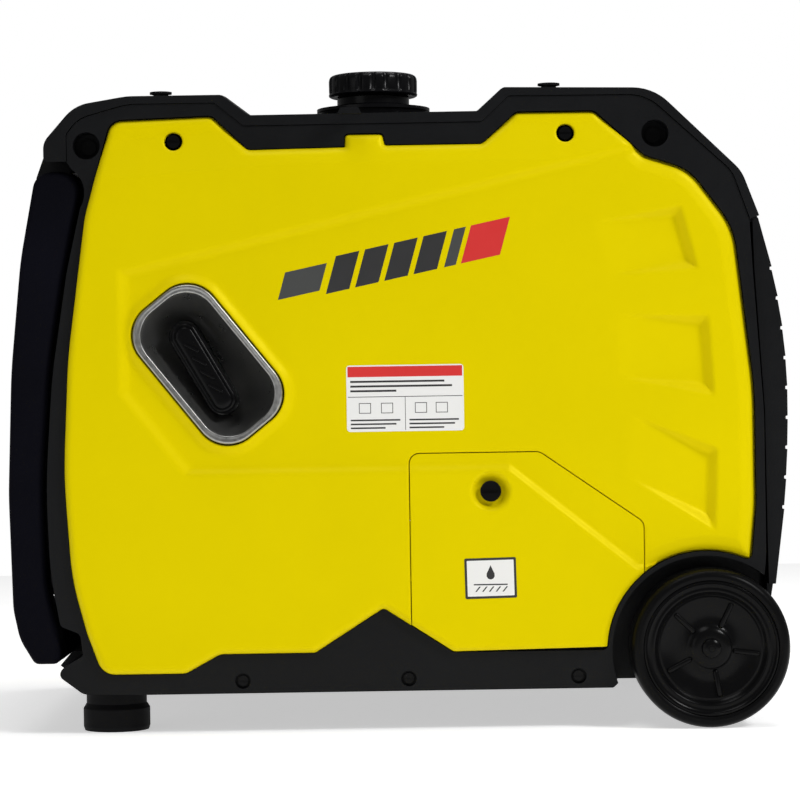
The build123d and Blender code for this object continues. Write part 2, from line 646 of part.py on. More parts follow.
def fan_shroud():
    """Round duct that guides the cooling air over the engine."""
    return rod_x(84, -134, -66, 0, SHAFT_Z) - rod_x(81, -136, -60, 0, SHAFT_Z)


def cylinder():
    """Horizontal finned cylinder and head on the far side of the crankcase."""
    barrel = rod_y(34, 60, 140, 3, SHAFT_Z) - rod_y(26, 60, 128, 3, SHAFT_Z)
    for number in range(6):
        y = 66 + number * 9
        fin = block(-45, 51, y, y + 2.5, SHAFT_Z - 48, SHAFT_Z + 48) - rod_y(33, 50, 150, 3, SHAFT_Z)
        barrel += fin
    return barrel


def valve_cover():
    """Domed valve cover on the head."""
    cover = block(-30, 36, 140, 160, SHAFT_Z - 30, SHAFT_Z + 30)
    return chamfer(cover.faces().sort_by(Axis.Y)[-1].edges(), 5)


def spark_plug():
    """Spark plug on top of the head, with its insulator and terminal."""
    profile = [(0, 0), (7, 0), (7, 8), (10, 9), (10, 16), (5, 18), (4.5, 34), (2.5, 35), (2.5, 42), (0, 42)]
    return turned_z([(radius, z + SHAFT_Z + 34) for radius, z in profile], 3, 134)


def muffler():
    """Oval silencer box at the rear."""
    box = fillet(block(150, 236, -96, 118, 132, 330).edges().filter_by(Axis.X), 30)
    inside = fillet(block(153, 233, -93, 115, 135, 327).edges().filter_by(Axis.X), 27)
    return box - inside


def tailpipe():
    """Exhaust outlet that passes through the rear cover."""
    return rod_x(16, 236, 297.5, TAILPIPE_Y, TAILPIPE_Z) - rod_x(13.5, 240, 300, TAILPIPE_Y, TAILPIPE_Z)


def carburettor():
    """Carburettor with its bowl, between the air filter and the head."""
    body = rod_x(19, 52, 104, 100, SHAFT_Z) + rod_z(16, SHAFT_Z - 46, SHAFT_Z, 78, 100)
    return body - rod_x(12, 60, 110, 100, SHAFT_Z)


def air_filter_box():
    """Air filter box with a ribbed lid."""
    box = block(104.2, 144, 60, 146, 176, 300) - block(107, 141, 63, 143, 179, 297)
    return box - rod_x(12, 100, 110, 100, SHAFT_Z)


def engine_mounts():
    """Four rubber mounts with their steel brackets under the crankcase."""
    mounts = []
    for x in (-45, 51):
        for y in (-45, 43):
            mounts.append(rod_z(14, 39, 100, x, y) + block(x - 12, x + 12, y - 12, y + 12, 99, 172))
    return mounts


# ---------------------------------------------------------------- wheels
def wheel_rim():
    """Plastic rim with a dished face, five spokes and a hub."""
    outer = -WHEEL_OUTER_Y
    inner = outer + WHEEL_WIDTH
    barrel = turned_y([(40, outer + 3), (51.9, outer + 2), (51.9, inner - 2), (40, inner - 2)], WHEEL_X, WHEEL_RADIUS)
    web = turned_y([(10, outer + 9), (41, outer + 9), (41, outer + 13), (10, outer + 13)], WHEEL_X, WHEEL_RADIUS)
    hub = turned_y([(6, outer + 3), (15, outer + 4), (18, outer + 10), (18, inner), (6, inner)], WHEEL_X, WHEEL_RADIUS)
    rim = barrel + web + hub
    for number in range(SPOKES):
        spoke = block(14, 42, outer + 5, outer + 11, -4, 4)
        rim += Pos(WHEEL_X, 0, WHEEL_RADIUS) * Rot(0, SPOKE_TURN + 360 / SPOKES * number, 0) * spoke
    return rim - rod_y(AXLE_RADIUS + RUNNING_GAP, outer - 5, inner + 5, WHEEL_X, WHEEL_RADIUS)


def tyre():
    """Solid rubber tyre with rounded shoulders."""
    outer = -WHEEL_OUTER_Y
    inner = outer + WHEEL_WIDTH
    profile = [(52, outer + 1), (54, outer), (57, outer + 1.5), (60, outer + 6), (61, outer + 12),
               (61, inner - 12), (60, inner - 6), (57, inner - 1.5), (54, inner), (52, inner - 1)]
    return turned_y(profile, WHEEL_X, WHEEL_RADIUS)


def axle():
    """Steel axle through both wheels."""
    return rod_y(AXLE_RADIUS, -WHEEL_OUTER_Y + 2, WHEEL_OUTER_Y - 2, WHEEL_X, WHEEL_RADIUS)


def axle_caps():
    """Domed push-on caps that hold the wheels on the axle."""
    profile = [(0, -215), (4, -214.6), (8.5, -212.6), (8.5, -211.4), (6.2, -211.4), (6.2, -212.1),
               (0, -212.1)]
    near = turned_y(profile, WHEEL_X, WHEEL_RADIUS)
    return [near, far_side(near)]


# ---------------------------------------------------------------- pull handle
def arm_face():
    return rounded_face(ARM_LINE) + disc(17, *PIVOT)


def handle_arm():
    """Curved side arm of the pull handle with its pivot bore, blind towards the outside."""
    arm = across(arm_face(), -ARM_OUTER_Y, -ARM_INNER_Y)
    return arm - rod_y(PIN_RADIUS + RUNNING_GAP, -ARM_OUTER_Y + SKIN, -140, *PIVOT)


def bar_face(inset):
    """Section of the cross bar: the lower end of the arms' outline."""
    return offset(rounded_face(ARM_LINE), -inset) & (Pos(-280, 73 + inset / 2) * Rectangle(60, 37 - inset))


def handle_crossbar():
    """Bar between the arms, thinner under the grip."""
    bar = across(bar_face(5), -GRIP_HALF, GRIP_HALF)
    for low, high in ((-ARM_INNER_Y, -GRIP_HALF), (GRIP_HALF, ARM_INNER_Y)):
        bar += across(bar_face(1), low, high)
    return bar


def handle_grip():
    """Soft sleeve on the middle of the cross bar."""
    return across(bar_face(0.5) - bar_face(4.9), -GRIP_HALF + 0.3, GRIP_HALF - 0.3)


def pivot_pins():
    """Pins on which the handle folds, headed on their inner ends."""
    x, z = PIVOT
    near = rod_y(PIN_RADIUS, -ARM_OUTER_Y + SKIN + 0.5, -147, x, z) + rod_y(8, -149.7, -146, x, z)
    return [near, far_side(near)]


# ---------------------------------------------------------------- write every node
NEAR_FRAME = side_frame()
NEAR_ARM = handle_arm()
NEAR_RIM = wheel_rim()
NEAR_TYRE = tyre()

save("base_tray", base_tray())
save("side_frame_near", NEAR_FRAME)
save("side_frame_far", far_side(NEAR_FRAME))
save("side_panel_near", side_panel([DOOR_OPENING, STARTER_OPENING]))
save("side_panel_far", far_side(side_panel([SERVICE_OPENING])))
save("oil_door", oil_door())
save("oil_door_screw", oil_door_screw())
save("service_cover", service_cover())
save("top_cover", top_cover())
save("top_plugs", *top_plugs())
save("front_bezel", front_bezel())
save("rear_cover", rear_cover())
save("case_screws", *case_screws())
save("feet", *feet())
save("starter_bezel", starter_bezel())
save("starter_bowl", starter_bowl())
save("starter_grip", starter_grip())
save("starter_rope", starter_rope())
save("starter_reel", starter_reel())
save("starter_housing", starter_housing())
save("fuel_tank", fuel_tank())
save("filler_neck", filler_neck())
save("filler_collar", filler_collar())
save("cap_gasket", cap_gasket())
save("fuel_cap", fuel_cap())
save("control_panel", control_panel())
save("display_lens", display_lens())
save("engine_switch_knob", engine_switch_knob())
save("eco_rocker", eco_rocker())
save("start_button", start_button())
save("breaker_button_ac", breaker_button(BREAKER_Y[0]))
save("breaker_button_dc", breaker_button(BREAKER_Y[1]))
save("power_outlets", *power_outlets())
save("inverter_module", inverter_module())
save("crankcase", crankcase())
save("oil_filler_cap", oil_filler_cap())
save("main_bearings", *main_bearings())
save("crankshaft", crankshaft())
save("flywheel_rotor", flywheel_rotor())
save("stator", stator())
save("fan_shroud", fan_shroud())
save("cylinder", cylinder())
save("valve_cover", valve_cover())
save("spark_plug", spark_plug())
save("muffler", muffler())
save("tailpipe", tailpipe())
save("carburettor", carburettor())
save("air_filter_box", air_filter_box())
save("engine_mounts", *engine_mounts())
save("wheel_rim_near", NEAR_RIM)
save("wheel_rim_far", far_side(NEAR_RIM))
save("tyre_near", NEAR_TYRE)
save("tyre_far", far_side(NEAR_TYRE))
save("axle", axle())
save("axle_caps", *axle_caps())
save("handle_arm_near", NEAR_ARM)
save("handle_arm_far", far_side(NEAR_ARM))
save("handle_crossbar", handle_crossbar())
save("handle_grip", handle_grip())
save("pivot_pins", *pivot_pins())
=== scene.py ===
import json
from math import atan2, ceil, cos, hypot, pi, radians, sin, tan

import bmesh
import bpy
import numpy as np
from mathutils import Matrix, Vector
from mathutils.geometry import delaunay_2d_cdt


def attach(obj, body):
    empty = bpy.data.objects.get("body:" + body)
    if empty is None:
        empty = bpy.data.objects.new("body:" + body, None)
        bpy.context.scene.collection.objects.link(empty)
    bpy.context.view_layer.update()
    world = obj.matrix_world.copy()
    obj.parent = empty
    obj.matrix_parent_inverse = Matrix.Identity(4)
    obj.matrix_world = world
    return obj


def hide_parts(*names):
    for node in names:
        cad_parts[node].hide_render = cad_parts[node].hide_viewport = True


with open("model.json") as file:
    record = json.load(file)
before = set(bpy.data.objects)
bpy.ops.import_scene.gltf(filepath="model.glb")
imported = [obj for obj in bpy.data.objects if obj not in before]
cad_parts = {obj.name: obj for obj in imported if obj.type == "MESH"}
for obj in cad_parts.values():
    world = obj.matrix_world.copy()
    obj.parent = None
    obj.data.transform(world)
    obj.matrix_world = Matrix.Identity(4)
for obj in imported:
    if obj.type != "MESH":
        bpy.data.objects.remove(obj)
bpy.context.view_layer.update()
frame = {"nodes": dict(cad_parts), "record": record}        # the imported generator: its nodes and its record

MM = 0.001

# Depths of the side panels, in millimetres.
PANEL_Y = 200.0              # a panel's outermost plane, measured from the middle plane
PANEL_BACK_Y = 188.0
COVER_BACK_Y = 191.0         # back of the oil door and of the service cover
PLATEAU_DEPTH = 4.0
WEDGE_DEPTH = 6.2
TOP_SLOPE_DEPTH = 6.0
RIGHT_SLOPE_DEPTH = 3.2
RIGHT_SLOPE_WIDTH = 12
PANEL_EDGE_RADIUS = 6.0
RIM_RADIUS = 1.6             # rounding round a screw hole, the bowl and the service cover
DOOR_GAP_RADIUS = 1.1
SCREW_HOLE_RADIUS = 6.8
SEAM = 0.6
BOWL_FADE, COVER_FADE = 9.0, 12.0      # distance over which the relief dies out beside them
DISH_RADIUS, DISH_SLOPE, DISH_DEPTH = 15.8, 6.3, 7.2

# Outlines are in millimetres in the side view, x to the rear and z up, as (x, z, corner radius).
ARCH_X, ARCH_Z, ARCH_RADIUS = 234.5, 58.0, 76.5
LOW_CORNER = (39.5, 60, 5)             # where the panel's lower edge meets the oil door
PANEL_LINE = [
    (-230, 46.5, 14), (-166, 46.5, 12), (-139.5, 61, 12), (-66.5, 61, 6), (-13.5, 94.5, 4), LOW_CORNER,
    "arch", (274, 170, 150), (274, 258, 300), (260, 383, 60), (226.5, 428, 40), (192.5, 439, 8),
    (154, 474, 8), (94, 474, 6), (67.5, 450, 6), (-7, 450, 1), (-8.5, 459, 3), (-38, 459, 3), (-38, 449, 1),
    (-112.5, 448, 6), (-140, 474.5, 8), (-218, 472, 12), (-238.5, 398, 80), (-253, 290, 400),
    (-257.5, 200, 400), (-252.5, 120, 200), (-241.5, 78, 60),
]
DOOR_LEFT, DOOR_RIGHT, DOOR_LOW = 7.5, 187.5, 80.8
# Where edges meet the wheel arch, as angles in degrees seen from its centre.
ARCH_START_ANGLE, ARCH_END_ANGLE = 178.5, 62.5
DOOR_ARCH_START, DOOR_ARCH_END = 177.0, 127.91
DOOR_TOP = [(DOOR_RIGHT, 157.5, 8), (108, 213, 10), (DOOR_LEFT, 213, 8)]
DOOR_LINE = [(DOOR_LEFT, DOOR_LOW, 1), LOW_CORNER, "arch"] + DOOR_TOP
BOWL_X, BOWL_Z, BOWL_TILT = -145.5, 283.6, radians(-51.5)
BOWL_LENGTH, BOWL_WIDTH, BOWL_CORNER = 127.0, 73.0, 26.0
WEDGES = [
    [(151, 388), (219.5, 400.5), (232.5, 351), (165.5, 347)],
    [(170.5, 317), (239.5, 315.5), (243.5, 253.5), (169.5, 269)],
    [(179.5, 239), (245, 213.5), (242.5, 149.5), (174.5, 193)],
]
PANEL_SCREWS = [(-169.5, 455), (131.5, 457)]
DOOR_SCREW = (70.0, 183.0)
SERVICE_CENTRE, SERVICE_SIZE, SERVICE_CORNER = (-60.0, 205.0), (170.0, 120.0), 12
SERVICE_SCREWS = [(-125.0, 205.0), (5.0, 205.0)]


# ------------------------------------------------------------------------------------------- outlines
def arch_corners(start_angle, end_angle):
    """Corners along the wheel arch between two angles in degrees, seen from its centre."""
    steps = 26
    corners = []
    for i in range(steps + 1):
        angle = radians(start_angle + (end_angle - start_angle) * i / steps)
        radius = 4 if i in (0, steps) else 0
        corners.append((ARCH_X + ARCH_RADIUS * cos(angle), ARCH_Z + ARCH_RADIUS * sin(angle), radius))
    return corners


def sampled(corners, step=3.0):
    """Closed list of (x, z) points along an outline whose corners are turned by arcs."""
    points = []
    count = len(corners)
    for i in range(count):
        x, z, radius = corners[i]
        if radius == 0:
            points.append((x, z))
            continue
        before = Vector(corners[i - 1][:2]) - Vector((x, z))
        after = Vector(corners[(i + 1) % count][:2]) - Vector((x, z))
        bend = pi - before.angle(after)
        reach = min(radius * tan(bend / 2), 0.49 * before.length, 0.49 * after.length)
        radius = reach / tan(bend / 2)
        first = Vector((x, z)) + before.normalized() * reach
        bisector = (before.normalized() + after.normalized()).normalized()
        centre = Vector((x, z)) + bisector * hypot(radius, reach)
        start = atan2(first.y - centre.y, first.x - centre.x)
        side = before.x * after.y - before.y * after.x
        turn = bend if side < 0 else -bend
        pieces = max(3, ceil(abs(turn) * radius / step))
        for k in range(pieces + 1):
            angle = start + turn * k / pieces
            points.append((centre.x + radius * cos(angle), centre.y + radius * sin(angle)))
    return points


def spaced(points, step):
    """The same closed outline with its long runs divided."""
    result = []
    for i, (x, z) in enumerate(points):
        nx, nz = points[(i + 1) % len(points)]
        length = hypot(nx - x, nz - z)
        if length < 1e-6:
            continue
        pieces = max(1, round(length / step))
        result += [(x + (nx - x) * k / pieces, z + (nz - z) * k / pieces) for k in range(pieces)]
    return result


def outline(line, start_angle=ARCH_START_ANGLE, end_angle=ARCH_END_ANGLE):
    """Sampled outline of a part whose line passes the wheel arch between two angles."""
    corners = []
    for corner in line:
        corners += arch_corners(start_angle, end_angle) if corner == "arch" else [corner]
    return sampled(corners)


def rounded_rectangle(x, z, length, width, radius, tilt=0.0):
    """Rounded rectangle about x, z, turned by tilt."""
    a, b = length / 2, width / 2
    points = sampled([(-a, -b, radius), (a, -b, radius), (a, b, radius), (-a, b, radius)], 2.0)
    c, s = cos(tilt), sin(tilt)
    return [(x + px * c - pz * s, z + px * s + pz * c) for px, pz in points]


def circle(x, z, radius, count=40):
    """Points on a circle about x, z."""
    angles = [2 * pi * i / count for i in range(count)]
    return [(x + radius * cos(angle), z + radius * sin(angle)) for angle in angles]


def signed_distance(points, polygon):
    """Distance from each point to a closed polygon, positive inside."""
    a = np.array(polygon)
    b = np.roll(a, -1, axis=0)
    nearest = np.full(len(points), 1e9)
    inside = np.zeros(len(points), bool)
    for (ax, az), (bx, bz) in zip(a, b):
        ex, ez = bx - ax, bz - az
        wx, wz = points[:, 0] - ax, points[:, 1] - az
        t = np.clip((wx * ex + wz * ez) / max(ex * ex + ez * ez, 1e-12), 0, 1)
        nearest = np.minimum(nearest, (wx - ex * t) ** 2 + (wz - ez * t) ** 2)
        crosses = (az > points[:, 1]) != (bz > points[:, 1])
        if abs(ez) > 1e-12:
            inside ^= crosses & (points[:, 0] < ax + ex * (points[:, 1] - az) / ez)
    distance = np.sqrt(nearest)
    return np.where(inside, distance, -distance)


def smooth(t):
    """Ease from 0 to 1 with level ends."""
    t = np.clip(t, 0, 1)
    return t * t * (3 - 2 * t)


def beyond(points, start, end):
    """Distance of each point to the left of the line from start to end."""
    ex, ez = end[0] - start[0], end[1] - start[1]
    return (ex * (points[:, 1] - start[1]) - ez * (points[:, 0] - start[0])) / hypot(ex, ez)


# -------------------------------------------------------------------------------------- panel relief
def wedge_depth(points, corners):
    """Depth of a wedge pocket: a floor that falls to the right, with sloping walls on three sides."""
    top_left, top_right, low_right, low_left = corners
    floor = beyond(points, top_left, low_left) / 60.0
    top = beyond(points, top_right, top_left) / 7.0
    right = beyond(points, low_right, top_right) / 7.0
    low = beyond(points, low_left, low_right) / 8.0
    lowest = np.minimum(np.minimum(floor, top), np.minimum(right, low))
    return WEDGE_DEPTH * np.clip(lowest, 0, 1)


def plateau_depth(points):
    """Depth of the recessed field below the diagonal step and above the two lower bands."""
    step = beyond(points, (116.5, 434), (-205.5, 359)) / 8.0
    left = (points[:, 0] + 215) / 11.0
    band_left = beyond(points, (-218.3, 263.6), (-169.5, 201)) / 12.5
    band_low = (points[:, 1] - 197.5) / 8.0
    band_right = beyond(points, (83.5, 197.5), (178, 121.5)) / 7.0
    above_bands = np.maximum(band_low, band_right)
    inner = np.minimum(np.minimum(step, left), np.minimum(band_left, above_bands))
    return PLATEAU_DEPTH * smooth(inner)


def bevel_depth(points, edge):
    """Depth of the slope along the top edge and down the right side."""
    x, z = points[:, 0], points[:, 1]
    crease = 428 + 8 * np.clip((x + 200) / 120, 0, 1)
    top = np.clip((z - crease) / 30, 0, 1) * TOP_SLOPE_DEPTH
    fall = np.clip((RIGHT_SLOPE_WIDTH - edge) / RIGHT_SLOPE_WIDTH, 0, 1) * RIGHT_SLOPE_DEPTH
    right = np.where((x > 150) & (z > 125), fall, 0)
    return np.maximum(top, right)


def edge_roll(edge, radius):
    """Depth of a rounded edge."""
    inner = np.clip(radius - edge, 0, radius)
    return radius - np.sqrt(np.maximum(radius ** 2 - inner ** 2, 0))


def panel_relief(points):
    """Depth of a side panel's face below its outermost plane."""
    edge = signed_distance(points, PANEL_OUTLINE)
    depth = plateau_depth(points)
    for corners in WEDGES:
        depth = depth + wedge_depth(points, corners)
    return depth + bevel_depth(points, edge) + edge_roll(edge, PANEL_EDGE_RADIUS)


PANEL_OUTLINE = outline(PANEL_LINE)
DOOR_OUTLINE = outline(DOOR_LINE, DOOR_ARCH_START, DOOR_ARCH_END)


# ------------------------------------------------------------------------------- mouldings with relief
def clearance(points, loops):
    """Distance of each point to the nearest edge, positive in the material; loops[1:] are holes."""
    distance = signed_distance(points, loops[0])
    for hole in loops[1:]:
        distance = np.minimum(distance, -signed_distance(points, hole))
    return distance


def inner_grid(loops, spacing, margin):
    """Staggered rows of points that keep a margin from every edge."""
    outer = np.array(loops[0])
    low, high = outer.min(0), outer.max(0)
    row_height = spacing * 0.87
    rows = []
    for row in range(int((high[1] - low[1]) / row_height) + 1):
        xs = np.arange(low[0] + spacing / 2 * (row % 2), high[0], spacing)
        rows.append(np.stack([xs, np.full(len(xs), low[1] + row * row_height)], 1))
    grid = np.concatenate(rows)
    return grid[clearance(grid, loops) > margin]


def edge_rings(loops, lips):
    """Points that follow every edge at each of the lip distances, on the material's side."""
    rings = []
    for loop in loops:
        a = np.array(loop)
        normal = np.roll(a, -1, axis=0) - np.roll(a, 1, axis=0)
        normal = np.stack([-normal[:, 1], normal[:, 0]], 1)
        normal /= np.linalg.norm(normal, axis=1)[:, None] + 1e-9
        for lip in lips:
            for sign in (1, -1):
                ring = a + normal * lip * sign
                rings.append(ring[clearance(ring, loops) > lip * 0.93])
    return rings


def add_sheet(mesh, points, edges, loops, surface, order=1):
    """Triangulate points between the edges into a mesh, turned over where order is -1.

    Returns the vertex that stands for each point.
    """
    cut = delaunay_2d_cdt([Vector(p) for p in points], edges, [], 1, 1e-5)
    places = np.array([(v.x, v.y) for v in cut[0]])
    made = [mesh.verts.new((x * MM, y * MM, z * MM)) for (x, z), y in zip(places, surface(places))]
    middles = np.array([places[list(face)].mean(0) for face in cut[2]])
    for face, distance in zip(cut[2], clearance(middles, loops)):
        if distance > 0:
            mesh.faces.new([made[i] for i in face[::order]])
    return {old: made[new] for new, olds in enumerate(cut[3]) for old in olds}


def relief_slab(name, loops, relief, back_y, side, spacing=2.0, lips=(0.4, 1.1, 2.2, 3.6, 5.2)):
    """Closed moulding whose outer face follows a relief.

    loops are its outline and the edges of its holes; lips are the distances at which rows of points
    follow each edge, so that its rounding is smooth.
    """
    loops = [spaced(loop, spacing * 1.4) for loop in loops]
    boundary = [point for loop in loops for point in loop]
    edges = []
    for loop in loops:
        first, count = len(edges), len(loop)
        edges += [(first + i, first + (i + 1) % count) for i in range(count)]
    inner = np.concatenate([inner_grid(loops, spacing, lips[-1] + spacing * 0.5)] + edge_rings(loops, lips))
    mesh = bmesh.new()
    front = add_sheet(mesh, boundary + list(inner), edges, loops, lambda p: side * (PANEL_Y - relief(p)))
    back = add_sheet(mesh, boundary, edges, loops, lambda p: np.full(len(p), side * back_y), -1)
    for a, b in edges:
        mesh.faces.new([front[a], front[b], back[b], back[a]])
    loose = [v for v in mesh.verts if not v.link_faces]
    bmesh.ops.delete(mesh, geom=loose, context="VERTS")
    bmesh.ops.recalc_face_normals(mesh, faces=mesh.faces)
    return finish_mesh(name, mesh, 40)


def finish_mesh(name, mesh, smooth_angle=35):
    """Turn a bmesh into an object, smooth below an angle and sharp above it."""
    data = bpy.data.meshes.new(name)
    for face in mesh.faces:
        face.smooth = True
    for edge in mesh.edges:
        if len(edge.link_faces) == 2 and edge.calc_face_angle(0) > radians(smooth_angle):
            edge.smooth = False
    mesh.to_mesh(data)
    mesh.free()
    piece = bpy.data.objects.new(name, data)
    bpy.context.scene.collection.objects.link(piece)
    return piece


# ------------------------------------------------------------------------------------------ materials
class Nodes:
    """Short way to write a node material."""

    def __init__(self, name):
        self.material = bpy.data.materials.new(name)
        self.material.use_nodes = True
        self.tree = self.material.node_tree
        self.shader = self.tree.nodes["Principled BSDF"]
        self.place = self.tree.nodes.new("ShaderNodeTexCoord").outputs["Object"]

    def link(self, source, target):
        """Connect two sockets."""
        self.tree.links.new(source, target)

    def noise(self, scale, detail=4.0, rough=0.55, stretch=None):
        """Noise value over the object, stretched along its axes if asked."""
        node = self.tree.nodes.new("ShaderNodeTexNoise")
        node.inputs["Scale"].default_value = scale
        node.inputs["Detail"].default_value = detail
        node.inputs["Roughness"].default_value = rough
        source = self.place
        if stretch:
            mapping = self.tree.nodes.new("ShaderNodeMapping")
            mapping.inputs["Scale"].default_value = stretch
            self.link(self.place, mapping.inputs["Vector"])
            source = mapping.outputs["Vector"]
        self.link(source, node.inputs["Vector"])
        return node.outputs["Fac"]

    def cells(self, scale):
        """Distance to the nearest of many scattered points, which gives a pebbled grain."""
        node = self.tree.nodes.new("ShaderNodeTexVoronoi")
        node.inputs["Scale"].default_value = scale
        self.link(self.place, node.inputs["Vector"])
        return node.outputs["Distance"]

    def spread(self, source, low, high, start=0.3, end=0.7):
        """Map a noise value from its usual range to another."""
        node = self.tree.nodes.new("ShaderNodeMapRange")
        node.inputs["From Min"].default_value = start
        node.inputs["From Max"].default_value = end
        node.inputs["To Min"].default_value = low
        node.inputs["To Max"].default_value = high
        self.link(source, node.inputs["Value"])
        return node.outputs["Result"]

    def mix(self, factor, first, second):
        """Blend of two colours, each a tuple or a socket."""
        node = self.tree.nodes.new("ShaderNodeMix")
        node.data_type = "RGBA"
        self.link(factor, node.inputs["Factor"])
        for value, socket in ((first, node.inputs[6]), (second, node.inputs[7])):
            if isinstance(value, tuple):
                socket.default_value = (*value, 1)
            else:
                self.link(value, socket)
        return node.outputs[2]

    def add(self, first, second, weight=1.0):
        """The first value plus the second times its weight."""
        node = self.tree.nodes.new("ShaderNodeMath")
        node.operation = "MULTIPLY_ADD"
        self.link(second, node.inputs[0])
        node.inputs[1].default_value = weight
        self.link(first, node.inputs[2])
        return node.outputs[0]

    def bump(self, height, distance, strength=1.0):
        """Make the surface look raised where the height value is large."""
        node = self.tree.nodes.new("ShaderNodeBump")
        node.inputs["Distance"].default_value = distance
        node.inputs["Strength"].default_value = strength
        self.link(height, node.inputs["Height"])
        self.link(node.outputs["Normal"], self.shader.inputs["Normal"])


def scaled(color, factor):
    """The colour made lighter or darker."""
    return tuple(channel * factor for channel in color)


def plastic(name, color, roughness=0.45, variation=0.06, grain=1400.0, depth=0.00006, metallic=0.0,
            specular=0.5, coat=0.0, tint=(1, 1, 1)):
    """Moulded plastic, or with metallic set a cast or painted metal: slow colour drift, grain and scuffs."""
    nodes = Nodes(name)
    drift = nodes.spread(nodes.noise(7.0, 3.0), 0.0, 1.0)
    scuffs = nodes.noise(60.0, 6.0, 0.7)
    nodes.link(nodes.mix(drift, scaled(color, 1 - variation), scaled(color, 1 + variation)),
               nodes.shader.inputs["Base Color"])
    nodes.link(nodes.spread(scuffs, roughness - 0.05, roughness + 0.07), nodes.shader.inputs["Roughness"])
    nodes.bump(nodes.add(nodes.noise(grain, 2.0), nodes.cells(grain * 0.8), 0.5), depth, 0.6)
    nodes.shader.inputs["Metallic"].default_value = metallic
    nodes.shader.inputs["Specular IOR Level"].default_value = specular
    nodes.shader.inputs["Specular Tint"].default_value = (*tint, 1)
    nodes.shader.inputs["Coat Weight"].default_value = coat
    nodes.shader.inputs["Coat Roughness"].default_value = 0.25
    return nodes.material


def brushed(name, color, roughness, stretch):
    """Brushed or turned metal with fine lines along one direction."""
    nodes = Nodes(name)
    lines = nodes.noise(300.0, 4.0, 0.6, stretch)
    nodes.link(nodes.mix(nodes.spread(lines, 0, 1), scaled(color, 0.82), scaled(color, 1.12)),
               nodes.shader.inputs["Base Color"])
    nodes.link(nodes.spread(lines, roughness - 0.07, roughness + 0.1), nodes.shader.inputs["Roughness"])
    nodes.shader.inputs["Metallic"].default_value = 1.0
    nodes.bump(lines, 0.00002, 0.5)
    return nodes.material


def window(name):
    """Dark clear display window."""
    nodes = Nodes(name)
    smear = nodes.noise(90.0, 5.0)
    nodes.link(nodes.mix(nodes.spread(smear, 0, 1), (0.012, 0.016, 0.02), (0.02, 0.026, 0.03)),
               nodes.shader.inputs["Base Color"])
    nodes.link(nodes.spread(smear, 0.05, 0.12), nodes.shader.inputs["Roughness"])
    nodes.shader.inputs["Coat Weight"].default_value = 0.6
    nodes.shader.inputs["Coat Roughness"].default_value = 0.04
    nodes.bump(smear, 0.00001, 0.3)
    return nodes.material


